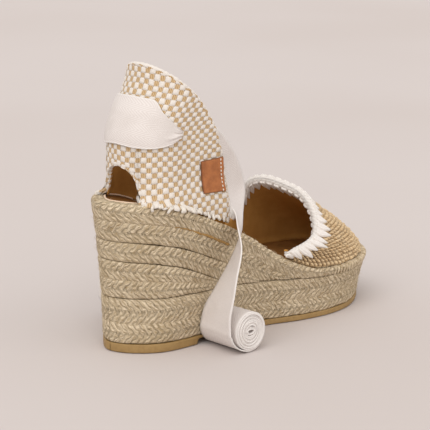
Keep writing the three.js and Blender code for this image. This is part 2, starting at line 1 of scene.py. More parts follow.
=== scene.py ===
"""Wedge espadrille sandal, right foot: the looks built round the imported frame.

Lengths are written in millimetres, as in the part's own source, and turned into metres as each mesh is made.
+X points to the toe, +Z up, -Y is the outer side. The origin is on the floor under the middle of the sole.
"""

import math

import bpy
import numpy as np
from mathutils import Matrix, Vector


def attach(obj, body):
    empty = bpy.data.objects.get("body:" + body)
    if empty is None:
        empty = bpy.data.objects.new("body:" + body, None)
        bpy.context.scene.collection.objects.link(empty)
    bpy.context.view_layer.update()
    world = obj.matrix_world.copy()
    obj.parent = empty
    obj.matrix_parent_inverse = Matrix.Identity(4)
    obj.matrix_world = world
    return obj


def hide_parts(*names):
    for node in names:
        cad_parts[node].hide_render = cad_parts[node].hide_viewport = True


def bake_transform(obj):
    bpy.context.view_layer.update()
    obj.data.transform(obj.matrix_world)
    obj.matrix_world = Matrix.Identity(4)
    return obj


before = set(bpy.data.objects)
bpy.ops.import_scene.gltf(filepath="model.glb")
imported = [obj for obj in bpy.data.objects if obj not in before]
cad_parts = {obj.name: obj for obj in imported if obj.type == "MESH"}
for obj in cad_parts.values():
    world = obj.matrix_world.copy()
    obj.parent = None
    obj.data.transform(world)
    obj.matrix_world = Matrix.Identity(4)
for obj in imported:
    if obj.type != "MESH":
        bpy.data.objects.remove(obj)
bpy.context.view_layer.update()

# ---------- driving dimensions, the same as the part's ----------

SOLE_LENGTH = 225
HEEL_WIDTH = 59.2
FORE_WIDTH = 82.4
WAIST_WIDTH = 55.9
HEEL_HEIGHT = 102
PLATFORM_HEIGHT = 35
WALL_FLARE = 7
TOE_SPRING = 0.003
BALL_X = 70
GAP = 0.3
RUBBER_HEEL = 6
RUBBER_FORE = 4
SHANK_RECESS = 3.5
SHANK_FROM = -62
SHANK_TO = -15
BASE_TOP_HEEL = 37
BASE_TOP_FORE = 30
RIM_BRAID = 12.5
RIM_LOWER_DEPTH = 26
WEDGE_UPPER_DEPTH = 39.3
BRAID_INSET = 6
RIM_INSET = 2
FOOTBED_DROP = 1.5
COUNTER_RADIUS = 28
COUNTER_BASE_FLARE = 3
COUNTER_TOP = 187.5
FABRIC_THICKNESS = 1.5
LINING_THICKNESS = 1.2
VAMP_HEIGHT = 57
VAMP_THICKNESS = 2.5
VAMP_SEAT = 3
RIBBON_WIDTH = 34
ROLL_RADIUS = 14
ROLL_X = -48
ROLL_Y = 49

MM = 0.001
HEEL_END = -SOLE_LENGTH / 2
COUNTER_BACK = HEEL_END + 7.5
QUARTER = math.pi / 2 * COUNTER_RADIUS
DRAWS = np.random.default_rng(20)


# ---------- curves and repeatable unevenness ----------

def profile(pairs):
    """A smooth function through the given pairs, with no overshoot between them."""
    xs, ys = (np.array(column, float) for column in zip(*pairs))
    rates = np.diff(ys) / np.diff(xs)
    slopes = np.zeros(len(xs))
    for i in range(1, len(xs) - 1):
        if rates[i - 1] * rates[i] > 0:
            slopes[i] = 2 * rates[i - 1] * rates[i] / (rates[i - 1] + rates[i])

    def at(x):
        x = np.clip(x, xs[0], xs[-1])
        i = np.clip(np.searchsorted(xs, x, side="right") - 1, 0, len(xs) - 2)
        span = xs[i + 1] - xs[i]
        t = (x - xs[i]) / span
        rise = ys[i + 1] - ys[i]
        a = slopes[i] * span - rise
        b = rise - slopes[i + 1] * span
        return ys[i] + rise * t + t * (1 - t) * (a * (1 - t) + b * t)

    return at


def smooth(t):
    c = np.clip(t, 0, 1)
    return c * c * (3 - 2 * c)


def spline(points, closed=False, centripetal=True):
    """A Catmull-Rom curve through the points, as a function of a share from 0 to 1."""
    points = np.array(points, float)
    count = len(points)
    if closed:
        line = np.concatenate([points[-1:], points, points[:2]])
        spans = count
    else:
        line = np.concatenate([[2 * points[0] - points[1]], points, [2 * points[-1] - points[-2]]])
        spans = count - 1

    def at(t):
        t = np.asarray(t, float)
        place = (t % 1 if closed else np.clip(t, 0, 1)) * spans
        i = np.minimum(np.floor(place).astype(int), spans - 1)
        w = (place - i)[..., None]
        p0, p1, p2, p3 = (line[i + k] for k in range(4))
        if centripetal:
            d0, d1, d2 = (
                np.sqrt(np.maximum(np.linalg.norm(b - a, axis=-1, keepdims=True), 1e-6))
                for a, b in ((p0, p1), (p1, p2), (p2, p3))
            )
            m1 = ((p1 - p0) / d0 - (p2 - p0) / (d0 + d1) + (p2 - p1) / d1) * d1
            m2 = ((p2 - p1) / d1 - (p3 - p1) / (d1 + d2) + (p3 - p2) / d2) * d1
        else:
            m1, m2 = (p2 - p0) / 2, (p3 - p1) / 2
        w2, w3 = w * w, w * w * w
        return p1 * (2 * w3 - 3 * w2 + 1) + m1 * (w3 - 2 * w2 + w) + p2 * (3 * w2 - 2 * w3) + m2 * (w3 - w2)

    return at


def lengths(points):
    """Distance along a line of points, from its start."""
    return np.concatenate([[0], np.cumsum(np.linalg.norm(np.diff(points, axis=0), axis=1))])


def scatter(*keys):
    """A repeatable number from 0 to 1 for whole-number keys."""
    mixed = sum(np.asarray(key, float) * weight for key, weight in zip(keys, (127.1, 311.7, 74.7)))
    return np.modf(np.abs(np.sin(mixed) * 43758.5453))[0]


def uneven(a, b, seed):
    """Smooth unevenness from -1 to 1 over a plane, with bumps about one unit across."""
    a, b = np.broadcast_arrays(np.asarray(a, float), np.asarray(b, float))
    i, j = np.floor(a), np.floor(b)
    f, g = smooth(a - i), smooth(b - j)
    low = scatter(i, j, seed) * (1 - f) + scatter(i + 1, j, seed) * f
    high = scatter(i, j + 1, seed) * (1 - f) + scatter(i + 1, j + 1, seed) * f
    return 2 * (low * (1 - g) + high * g) - 1


def unit(vectors):
    return vectors / np.maximum(np.linalg.norm(vectors, axis=-1, keepdims=True), 1e-9)


def grid_normals(grid):
    """Unit normals of a grid of points, from its rows and columns."""
    return unit(np.cross(np.gradient(grid, axis=0), np.gradient(grid, axis=1)))


def across_line(line, front):
    """Unit vectors that cross a line of points, square to the given front vectors."""
    return unit(np.cross(front, unit(np.gradient(line, axis=0))))


def dome(place, power=2.0, least=0.0):
    """A rounded section: 1 in the middle, where place is 0, and least where it is -1 or 1."""
    return np.sqrt(np.clip(1 - np.abs(place) ** power, least, 1))


# ---------- mesh makers ----------

def grid_faces(rows, columns, loop_rows=False, loop_columns=False):
    i = np.arange(rows if loop_rows else rows - 1)[:, None]
    j = np.arange(columns if loop_columns else columns - 1)[None, :]
    i2, j2 = (i + 1) % rows, (j + 1) % columns
    corners = [i * columns + j, i * columns + j2, i2 * columns + j2, i2 * columns + j]
    return np.stack([np.broadcast_to(c, (i.shape[0], j.shape[1])) for c in corners], -1).reshape(-1, 4)


def make(name, points, faces, finish, body="shoe", slot=None, marks=None, replaces=()):
    """A mesh piece from points in millimetres, its faces turned to point out, riding on a body."""
    points = np.asarray(points, float).reshape(-1, 3) * MM
    faces = [list(map(int, face)) for face in faces]
    fan = np.array([[f[0], f[k], f[k + 1]] for f in faces for k in range(1, len(f) - 1)])
    a, b, c = (points[fan[:, k]] for k in range(3))
    if np.einsum("ij,ij->", a, np.cross(b, c)) < 0:
        faces = [face[::-1] for face in faces]
    mesh = bpy.data.meshes.new(name)
    mesh.from_pydata(points.tolist(), [], faces)
    for key, values in (marks or {}).items():
        values = np.asarray(values, np.float32)
        if values.size == len(points):
            mesh.attributes.new(key, "FLOAT", "POINT").data.foreach_set("value", values.ravel())
        else:
            mesh.attributes.new(key, "FLOAT_VECTOR", "POINT").data.foreach_set("vector", values.ravel())
    mesh.shade_smooth()
    mesh.materials.append(finish)
    piece = bpy.data.objects.new(name, mesh)
    bpy.context.scene.collection.objects.link(piece)
    if body:
        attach(piece, body)
    if replaces:
        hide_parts(*replaces)
    return piece


def loft_faces(rows, columns, loop):
    """Faces of closed sections joined one to the next, with a cap at each end of an open run."""
    faces = grid_faces(rows, columns, loop_rows=loop, loop_columns=True).tolist()
    if not loop:
        faces.append(list(range(columns))[::-1])
        faces.append([(rows - 1) * columns + j for j in range(columns)])
    return faces


def cloth(outer, inner):
    """Points and faces of a thin body between two grids of the same shape."""
    rows, columns = outer.shape[:2]
    points = np.concatenate([outer, inner[:, ::-1]], axis=1)
    faces = grid_faces(rows, 2 * columns, loop_columns=True).tolist()
    last = (rows - 1) * 2 * columns
    for j in range(columns - 1):
        strip = [j, j + 1, 2 * columns - 2 - j, 2 * columns - 1 - j]
        faces.append(strip[::-1])
        faces.append([last + k for k in strip])
    return points, faces


def both(mark):
    """A mark for each point of a cloth's two faces, from its grid."""
    return np.concatenate([mark, mark[:, ::-1]], axis=1)


def cloth_piece(name, outer, inner, finish, marks=None, **rest):
    """A piece made of one thin body, whose marks are given for each point of its grid."""
    points, faces = cloth(outer, inner)
    marks = {key: both(mark) for key, mark in (marks or {}).items()}
    return make(name, points, faces, finish, marks=marks, **rest)


def cord(line, across, front, width, height, sides, marks):
    """The points, faces and marks of one short strand."""
    ring = tube(line, across, front, width, height, sides)
    return ring.reshape(-1, 3), loft_faces(len(line), sides, False), marks


def join_parts(parts):
    """Several (points, faces, marks) as one set."""
    points, faces, marks, start = [], [], {}, 0
    for part_points, part_faces, part_marks in parts:
        part_points = np.asarray(part_points).reshape(-1, 3)
        points.append(part_points)
        faces.extend([[start + int(k) for k in face] for face in part_faces])
        for key, values in part_marks.items():
            marks.setdefault(key, []).append(np.asarray(values, float).reshape(len(part_points), -1))
        start += len(part_points)
    return np.concatenate(points), faces, {key: np.concatenate(values) for key, values in marks.items()}


def make_joined(name, parts, finish, slot):
    points, faces, marks = join_parts(parts)
    make(name, points, faces, finish, slot=slot, marks=marks)


def tube(line, across, up, width, height, sides, swell=None):
    """Closed sections round a line: across and up are unit vectors at each of its points."""
    angle = np.arange(sides) / sides * 2 * math.pi
    scale = np.ones((len(line), sides)) if swell is None else swell(angle)
    width, height = (np.broadcast_to(size, len(line))[:, None, None] for size in (width, height))
    ring = across[:, None] * np.cos(angle)[None, :, None] * width / 2
    ring = ring + up[:, None] * np.sin(angle)[None, :, None] * height / 2
    return line[:, None] + ring * scale[..., None]


# ---------- materials ----------

def colour(red, green, blue):
    """A colour given by its everyday 0 to 255 numbers, as the shader takes it."""
    return tuple(
        c / 12.92 if c <= 0.04045 else ((c + 0.055) / 1.055) ** 2.4
        for c in (red / 255, green / 255, blue / 255)
    ) + (1.0,)


def shader_math(operation, swapped=False):
    """A method of Value that adds one Math node."""

    def apply(value, other=None):
        terms = [other, value] if swapped else [value, other]
        inputs = {k: term for k, term in enumerate(terms) if term is not None}
        return value.finish.node("ShaderNodeMath", {"operation": operation}, inputs)

    return apply


class Value:
    """A shader socket that takes part in Python arithmetic."""

    def __init__(self, finish, socket):
        self.finish = finish
        self.socket = socket

    __add__ = __radd__ = shader_math("ADD")
    __mul__ = __rmul__ = shader_math("MULTIPLY")
    __sub__ = shader_math("SUBTRACT")
    __rsub__ = shader_math("SUBTRACT", swapped=True)
    __truediv__ = shader_math("DIVIDE")
    __pow__ = shader_math("POWER")
    __abs__ = shader_math("ABSOLUTE")
    sine = shader_math("SINE")
    fraction = shader_math("FRACT")
    least = shader_math("MINIMUM")

    def between(self, low, high):
        """0 below low, 1 above high, and smooth from one to the other."""
        inputs = {"Value": self, "From Min": low, "From Max": high}
        return self.finish.node("ShaderNodeMapRange", {"interpolation_type": "SMOOTHSTEP"}, inputs)


class Finish:
    """One procedural material and the nodes in it."""

    def __init__(self, name):
        self.material = bpy.data.materials.new(name)
        self.material.use_nodes = True
        self.tree = self.material.node_tree
        self.shader = self.tree.nodes["Principled BSDF"]

    def connect(self, value, socket):
        if isinstance(value, Value):
            self.tree.links.new(value.socket, socket)
        elif value is not None:
            socket.default_value = value

    def node(self, kind, settings=None, inputs=None, output=0):
        made = self.tree.nodes.new(kind)
        for key, setting in (settings or {}).items():
            if key == "stops":
                ramp = made.color_ramp
                while len(ramp.elements) < len(setting):
                    ramp.elements.new(0.5)
                for element, (place, tint) in zip(ramp.elements, setting):
                    element.position = place
                    element.color = tint
            else:
                setattr(made, key, setting)
        for key, value in (inputs or {}).items():
            self.connect(value, made.inputs[key])
        return Value(self, made.outputs[output])

    def number(self, name):
        return self.node("ShaderNodeAttribute", {"attribute_name": name}, output="Fac")

    def vector(self, name):
        return self.node("ShaderNodeAttribute", {"attribute_name": name}, output="Vector")

    def place(self):
        """The place in the piece, in millimetres."""
        spot = self.node("ShaderNodeTexCoord", output="Object")
        return self.stretch(spot, (1000, 1000, 1000))

    def stretch(self, vector, scale):
        return self.node("ShaderNodeVectorMath", {"operation": "MULTIPLY"}, {0: vector, 1: scale})

    def part(self, vector, axis):
        return self.node("ShaderNodeSeparateXYZ", inputs={0: vector}, output=axis)

    def noise(self, vector, scale, detail=2.0, rough=0.5):
        inputs = {"Vector": vector, "Scale": scale, "Detail": detail, "Roughness": rough}
        return self.node("ShaderNodeTexNoise", inputs=inputs, output="Fac")

    def mix(self, share, first, second):
        made = self.tree.nodes.new("ShaderNodeMix")
        made.data_type = "RGBA"
        for value, socket in ((share, 0), (first, 6), (second, 7)):
            self.connect(value, made.inputs[socket])
        return Value(self, made.outputs[2])

    def surface(self, tint, rough, height=None, depth=0.0003, strength=1.0, **constants):
        """Sends the results to the shader. The bump's depth is in metres. Constants go on own sockets."""
        self.connect(tint, self.shader.inputs["Base Color"])
        self.connect(rough, self.shader.inputs["Roughness"])
        if height is not None:
            inputs = {"Strength": strength, "Distance": depth, "Height": height}
            normal = self.node("ShaderNodeBump", inputs=inputs)
            self.connect(normal, self.shader.inputs["Normal"])
        for key, value in constants.items():
            self.shader.inputs[key.replace("_", " ")].default_value = value
        return self.material


def jute_finish():
    f = Finish("jute")
    fibre = f.vector("fibre")
    fine = f.noise(f.stretch(fibre, (0.22, 2.0, 1.3)), 1.0, 3.0, 0.7)
    broad = f.noise(f.stretch(fibre, (0.1, 0.8, 0.7)), 1.0, 2.0)
    patch = f.noise(f.place(), 0.045, 2.0)
    hollow = f.number("hollow")
    tint = f.mix(fine.between(0.36, 0.66), colour(152, 129, 94), colour(240, 224, 197))
    tint = f.mix(broad.between(0.5, 0.8) * 0.55, tint, colour(160, 136, 98))
    tint = f.mix(f.number("tone") * 0.35, tint, colour(226, 209, 178))
    tint = f.mix(patch.between(0.5, 0.75) * 0.3, tint, colour(172, 150, 112))
    # Painted shade: darkens the grooves between strands, the creases at the braid seams and the hidden inner
    # faces.
    tint = f.mix((hollow ** 1.5) * 0.72, tint, colour(104, 84, 54))
    height = fine * 0.9 + broad * 0.5
    return f.surface(tint, 0.93, height, 0.0008, 1.0, Specular_IOR_Level=0.18)


def fuzz_finish():
    f = Finish("jute_fuzz")
    tint = f.mix(f.number("tone"), colour(160, 137, 100), colour(240, 227, 201))
    return f.surface(tint, 0.85, Specular_IOR_Level=0.25)


def rubber_finish():
    f = Finish("crepe_rubber")
    spot = f.place()
    mottle = f.noise(spot, 0.35, 3.0, 0.6)
    grain = f.noise(spot, 2.6, 2.0)
    tint = f.mix(mottle.between(0.35, 0.7), colour(160, 130, 82), colour(150, 120, 74))
    tint = f.mix(grain.between(0.55, 0.75) * 0.15, tint, colour(190, 162, 112))
    return f.surface(tint, 0.5 + mottle * 0.15, grain, 0.0002, 0.5, Specular_IOR_Level=0.4)


def suede_finish(name, light, dark, deep):
    """Brushed suede: soft clouds of nap over a fine grain."""
    f = Finish(name)
    spot = f.place()
    nap = f.noise(spot, 0.11, 3.0, 0.6)
    grain = f.noise(spot, 3.2, 3.0, 0.7)
    tint = f.mix(nap.between(0.3, 0.75) * 0.7, light, dark)
    tint = f.mix(grain.between(0.45, 0.75) * 0.35, tint, deep)
    return f.surface(tint, 0.96, grain, 0.0003, 0.6, Specular_IOR_Level=0.06)


def weave_finish():
    """Basket weave of puffy white cells and flat tan cells of three threads, with shade painted along the
    cell borders, into the corners and between the tan threads. The weave mark counts cells.
    """
    f = Finish("check_fabric")
    weave = f.vector("weave")
    x, y, plain = (f.part(weave, axis) for axis in "XYZ")
    wave = (x * math.pi).sine() * (y * math.pi).sine()
    white = (wave + plain * 2).between(-0.2, -0.05)
    cell_border_shade = 1 - (abs(wave) * 9).least(1.0)
    cell_corner_shade = (abs((x * math.pi).sine()) + abs((y * math.pi).sine())).between(0.62, 0.2)
    thread = (x * math.pi * 6).sine()
    cloud = f.noise(f.place(), 0.9, 3.0, 0.6)
    fleck = f.noise(f.place(), 3.4, 2.0)
    # The tan cells are painted darker in the grooves between their threads: painted shade.
    tan = f.mix(thread.between(-0.7, 0.7), colour(172, 139, 96), colour(217, 188, 148))
    tan = f.mix(cloud.between(0.4, 0.7) * 0.5, tan, colour(208, 180, 140))
    cream = f.mix(fleck.between(0.4, 0.75), colour(234, 228, 221), colour(210, 200, 188))
    tint = f.mix(white, tan, cream)
    # Painted shade along the cell borders and, darker, in the corners between cells.
    tint = f.mix(cell_border_shade * 0.34 * (1 - plain), tint, colour(160, 128, 86))
    tint = f.mix(cell_corner_shade * 0.55 * (1 - plain), tint, colour(116, 86, 54))
    height = fleck * 0.6 + (1 - white) * thread.between(-1, 1) * 0.5
    return f.surface(tint, 0.92, height, 0.0004, 0.8, Specular_IOR_Level=0.15, Sheen_Weight=0.1)


def cotton_finish(name, light, dark):
    """Soft white crochet cotton: the thread mark runs across the plies."""
    f = Finish(name)
    thread = f.number("thread")
    ply = (thread * math.pi * 2).sine()
    fleck = f.noise(f.place(), 2.8, 3.0, 0.6)
    hollow = f.number("hollow")
    tint = f.mix(fleck.between(0.35, 0.75), light, dark)
    # Painted shade in the grooves between the plies.
    tint = f.mix(ply.between(0.2, -1.0) * 0.3, tint, dark)
    # Painted shade in the hollows between stitches, chain links and twists.
    tint = f.mix((hollow ** 1.5) * 0.6, tint, colour(150, 122, 90))
    height = fleck * 0.5 + ply * 0.35
    return f.surface(tint, 0.88, height, 0.0004, 0.8, Specular_IOR_Level=0.2, Sheen_Weight=0.15)


def raffia_finish():
    f = Finish("raffia")
    fibre = f.vector("fibre")
    grain = f.noise(f.stretch(fibre, (0.5, 3.5, 1.0)), 1.0, 2.0)
    hollow = f.number("hollow")
    tint = f.mix(grain.between(0.3, 0.7), colour(196, 160, 110), colour(242, 217, 176))
    tint = f.mix(f.number("tone") * 0.6, tint, colour(240, 216, 176))
    # Painted shade in the holes between the crochet stitches.
    tint = f.mix((hollow ** 1.1) * 0.88, tint, colour(94, 62, 33))
    return f.surface(tint, 0.5 + grain * 0.2, grain, 0.0003, 0.7, Specular_IOR_Level=0.45)


def leather_finish():
    f = Finish("label_leather")
    spot = f.place()
    pebble = f.node(
        "ShaderNodeTexVoronoi", {"feature": "DISTANCE_TO_EDGE"}, {"Vector": spot, "Scale": 1.5}, "Distance"
    )
    cloud = f.noise(spot, 0.16, 3.0, 0.6)
    edge = f.number("hollow")
    tint = f.mix(cloud.between(0.35, 0.7), colour(180, 111, 60), colour(156, 92, 47))
    # Painted shade along the label's rolled-down edge, where it meets the fabric.
    tint = f.mix(edge * 0.8, tint, colour(98, 54, 26))
    rough, height = 0.5 + cloud * 0.12, pebble.between(0, 0.12)
    return f.surface(tint, rough, height, 0.00012, 0.6, Specular_IOR_Level=0.45)


def ribbon_finish(name, light, dark, selvedge):
    """Herringbone tape. The tape mark: place across and along it in millimetres, and how near an edge is."""
    f = Finish(name)
    tape = f.vector("tape")
    across, along, edge = (f.part(tape, axis) for axis in "XYZ")
    band = abs((across / 8.5).fraction() - 0.5) * 8.5
    twill = ((along * 0.9 + band * 1.5) * math.pi * 2 / 2.4).sine()
    weft = (along * math.pi * 2 / 0.55).sine()
    cloud = f.noise(f.place(), 0.05, 2.0)
    fleck = f.noise(f.place(), 3.0, 2.0)
    tint = f.mix(twill.between(-1, 1) * 0.5, light, dark)
    tint = f.mix(cloud.between(0.4, 0.75) * 0.4, tint, dark)
    tint = f.mix(edge * 0.8, tint, selvedge)
    height = twill * 0.5 + weft * 0.15 + fleck * 0.3
    return f.surface(tint, 0.82, height, 0.0002, 0.5, Specular_IOR_Level=0.25, Sheen_Weight=0.15)


def filler_finish(name, light, dark, scale, rough):
    """The hidden inner layers: granulated cork, fibre board and foam."""
    f = Finish(name)
    grains = f.node("ShaderNodeTexVoronoi", inputs={"Vector": f.place(), "Scale": scale}, output="Distance")
    cloud = f.noise(f.place(), scale, 3.0)
    tint = f.mix(grains.between(0.1, 0.7) * 0.6 + cloud * 0.4, light, dark)
    return f.surface(tint, rough, grains, 0.0004, 0.6)


JUTE = jute_finish()
FUZZ = fuzz_finish()
RUBBER = rubber_finish()
FOOTBED = suede_finish("footbed_suede", colour(146, 102, 56), colour(116, 78, 38), colour(92, 58, 26))
LINING = suede_finish("lining_suede", colour(190, 140, 76), colour(172, 124, 64), colour(132, 92, 46))
CHECK = weave_finish()
COTTON = cotton_finish("white_cotton", colour(246, 242, 238), colour(226, 217, 208))
YARN = cotton_finish("hem_cotton", colour(240, 235, 227), colour(216, 205, 190))
OCHRE = cotton_finish("ochre_thread", colour(180, 142, 82), colour(148, 112, 62))
RAFFIA = raffia_finish()
LEATHER = leather_finish()
RIBBON = ribbon_finish("ribbon_tape", colour(229, 222, 218), colour(206, 197, 191), colour(236, 231, 227))

for filler, made in (
    ("wedge_core", filler_finish("cork", colour(176, 138, 92), colour(120, 86, 54), 0.4, 0.9)),
    ("insole_board", filler_finish("fibre_board", colour(134, 100, 64), colour(104, 74, 46), 1.5, 0.85)),
    ("insole_foam", filler_finish("foam", colour(224, 214, 190), colour(196, 182, 152), 1.2, 0.95)),
):
    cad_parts[filler].data.materials.clear()
    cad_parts[filler].data.materials.append(made)


# ---------- sole outline and heights ----------

OUTLINE = spline(
    [
        [share * SOLE_LENGTH, across, 0]
        for share, across in (
            (-0.5, 0),
            (-0.47, -0.25 * HEEL_WIDTH),
            (-0.4, -0.45 * HEEL_WIDTH),
            (-0.3, -0.5 * HEEL_WIDTH),
            (-0.15, -0.49 * HEEL_WIDTH),
            (0, -0.55 * WAIST_WIDTH),
            (0.12, -0.473 * FORE_WIDTH),
            (0.24, -0.52 * FORE_WIDTH),
            (0.35, -0.47 * FORE_WIDTH),
            (0.44, -0.33 * FORE_WIDTH),
            (0.49, -0.12 * FORE_WIDTH),
            (0.495, 0.1 * FORE_WIDTH),
            (0.45, 0.32 * FORE_WIDTH),
            (0.36, 0.45 * FORE_WIDTH),
            (0.24, 0.48 * FORE_WIDTH),
            (0.1, 0.4 * FORE_WIDTH),
            (-0.05, 0.45 * WAIST_WIDTH),
            (-0.2, 0.45 * HEEL_WIDTH),
            (-0.32, 0.5 * HEEL_WIDTH),
            (-0.42, 0.42 * HEEL_WIDTH),
            (-0.48, 0.2 * HEEL_WIDTH),
        )
    ],
    closed=True,
    centripetal=False,
)


def outline_at(t):
    """x, y of the sole outline at parameter t, and its normal, which points out."""
    point = OUTLINE(t)
    ahead = OUTLINE(np.asarray(t) + 2e-4) - OUTLINE(np.asarray(t) - 2e-4)
    normal = unit(np.stack([ahead[..., 1], -ahead[..., 0]], -1))
    return point[..., 0], point[..., 1], normal[..., 0], normal[..., 1]


FINE_T = np.linspace(0, 1, 6001)
FINE_LENGTH = lengths(OUTLINE(FINE_T))
PERIMETER = FINE_LENGTH[-1]


def t_at(distance):
    """Outline parameter at a distance round the sole from the back of the heel, outer side first."""
    laps = np.floor(np.asarray(distance) / PERIMETER)
    return np.interp(distance - laps * PERIMETER, FINE_LENGTH, FINE_T) + laps


def reach_of(x, side):
    """Distance round the sole at which it reaches x, on the outer side (-1) or the inner side (1)."""
    half = FINE_T[FINE_T <= 0.5] if side < 0 else -FINE_T[FINE_T <= 0.5]
    xs = OUTLINE(half)[:, 0]
    t = np.interp(x, xs, half)
    return np.interp(abs(t), FINE_T, FINE_LENGTH) if side < 0 else np.interp(1 - abs(t), FINE_T, FINE_LENGTH)


def along_sole(pairs):
    return profile([(x * SOLE_LENGTH, value) for x, value in pairs])


rim_shape = along_sole([
    (-0.53, 1), (-0.46, 0.985), (-0.37, 0.925), (-0.22, 0.72), (-0.107, 0.54),
    (0.04, 0.231), (0.115, 0.09), (0.18, 0.022), (0.3, 0), (0.56, 0),
])
base_shape = along_sole([(-0.53, 1), (-0.25, 0.8), (-0.05, 0.45), (0.1, 0.15), (0.2, 0), (0.56, 0)])
towards_heel = along_sole([(-0.2, 1), (0.05, 0)])


def rim_height(x):
    return PLATFORM_HEIGHT + (HEEL_HEIGHT - PLATFORM_HEIGHT) * rim_shape(x)


def base_height(x):
    return BASE_TOP_FORE + (BASE_TOP_HEEL - BASE_TOP_FORE) * base_shape(x)


def rubber_height(x):
    return RUBBER_FORE + (RUBBER_HEEL - RUBBER_FORE) * towards_heel(x)


def base_seam(x):
    return (rubber_height(x) + base_height(x)) / 2 - 1.5


def below_rim(depth):
    return lambda x: np.maximum(rim_height(x) - depth, base_height(x))


seat_height = below_rim(RIM_BRAID)
rim_lower_height = below_rim(RIM_LOWER_DEPTH)
wedge_upper_height = below_rim(WEDGE_UPPER_DEPTH)


def wedge_seam(x):
    return (wedge_upper_height(x) + base_height(x)) / 2


def sprung(x, z):
    """Toe spring lifts the bottom of the sole fully, and its top less."""
    lift = np.where(x > BALL_X, TOE_SPRING * (x - BALL_X) ** 2, 0)
    return z + lift * (1 - z / (PLATFORM_HEIGHT + 10))


def flare_at(x, z):
    return WALL_FLARE * (z / rim_height(x)) ** 2


# ---------- jute braids ----------

STRAND_PITCH = 4.1
STRAND_LEAN = 0.95
STRAND_RELIEF = 0.85
BRAID_PROUD = 0.4
SECTION_POWER = 2 / 2.6
TOP_ROLL = 5.0
SEAM_SHALLOW = 0.2
SEAM_DEEP = 1.7
POINTS_PER_HAIR = 36
HAIR_LENGTH = (1.4, 4.6)
HAIR_RADIUS = (0.05, 0.11)
STITCH_PITCH = 3.1
STITCH_FILL = 0.64
STITCH_RELIEF = 1.2
OVERLAP = 0.25
SECTION_POINTS = 31
STATION_STEP = 0.55
braid_grids = []


def strand_relief(s, h, middle, half, lean, seed):
    """Height of the plaited strands from 0 to 1, the shade painted into the grooves, place along the fibre,
    and tone.
    """
    s = s + 0.4 * uneven(s / 17, h / 11, seed) + 0.16 * uneven(s / 4.1, h / 3.3, seed + 1)
    zigzag = 0.6 * (np.abs((s / STRAND_PITCH) % 1 - 0.5) * 4 - 1)
    rise = h - middle - zigzag * np.minimum(1, half / 6)
    upper = rise > 0
    turn = s / STRAND_PITCH - lean * STRAND_LEAN * np.abs(rise) / STRAND_PITCH + np.where(upper, 0.5, 0.0)
    strand = np.floor(turn)
    u = turn - strand - 0.5
    key = strand * 2 + upper
    plump = 0.72 + 0.4 * scatter(key, seed, 3)
    width = 0.46 + 0.04 * scatter(key, seed, 5)
    arch = dome(u / width, 2.3)
    share = np.clip(np.abs(rise) / np.maximum(half, 1), 0, 1)
    tuck = 0.5 + 0.5 * np.sin(math.pi * np.clip(share * 0.85 + 0.15, 0, 1)) ** 0.7
    height = arch * plump * tuck
    # Painted shade in the grooves between strands and along the braid's middle, where the strands of the two
    # halves meet.
    groove_shade = np.clip(1 - arch * 1.25, 0, 1) * (0.55 + 0.45 * (1 - share))
    groove_shade = np.maximum(groove_shade, 0.5 * np.clip(1 - np.abs(rise) / 0.8, 0, 1))
    stretch = math.hypot(1, STRAND_LEAN)
    fibre = np.stack([np.abs(rise) * stretch, turn * STRAND_PITCH / stretch, key * 3.7 + seed], -1)
    return height, groove_shade, fibre, scatter(key, seed, 9)


def messy_share(x, z):
    """How loose and hairy the jute is: where the rim braid runs down past the waist."""
    return np.exp(-(((x - 6) / 34) ** 2)) * smooth((z / rim_height(x) - 0.55) / 0.2)


def seam_strength(x, seam):
    """How deep the crease at a braid's edge is, and how much shade is painted into it: near the heel, and
    forward of the waist.
    """
    heel, fore = seam
    return heel + (fore - heel) * smooth((x + 50) / 26)


def toe_stitches(x, distance, h, seed, relief, groove_shade, fibre, tone):
    """The stitches over the top braid, which take its plait's place from the ball of the foot to the toe."""
    share = smooth((x - 44) / 16) * np.ones_like(h)
    stitch = distance[:, None] / STITCH_PITCH + 0.12 * uneven(distance[:, None] / 5, h / 3, seed + 30)
    arch = dome(np.abs(stitch % 1 - 0.5) * 2 / STITCH_FILL, 2.6)
    relief = relief * (1 - share) + share * (arch - 0.7) * STITCH_RELIEF
    # Painted shade between the stitches.
    groove_shade = groove_shade * (1 - share) + share * np.clip(1.1 - arch * 1.5, 0, 1)
    along = np.stack([h + 0 * stitch, stitch * STITCH_PITCH, np.floor(stitch) * STITCH_PITCH], -1)
    fibre = np.where(share[..., None] > 0.5, along, fibre)
    tone = np.where(share > 0.5, scatter(np.floor(stitch), seed, 4), tone)
    return relief, groove_shade, fibre, tone


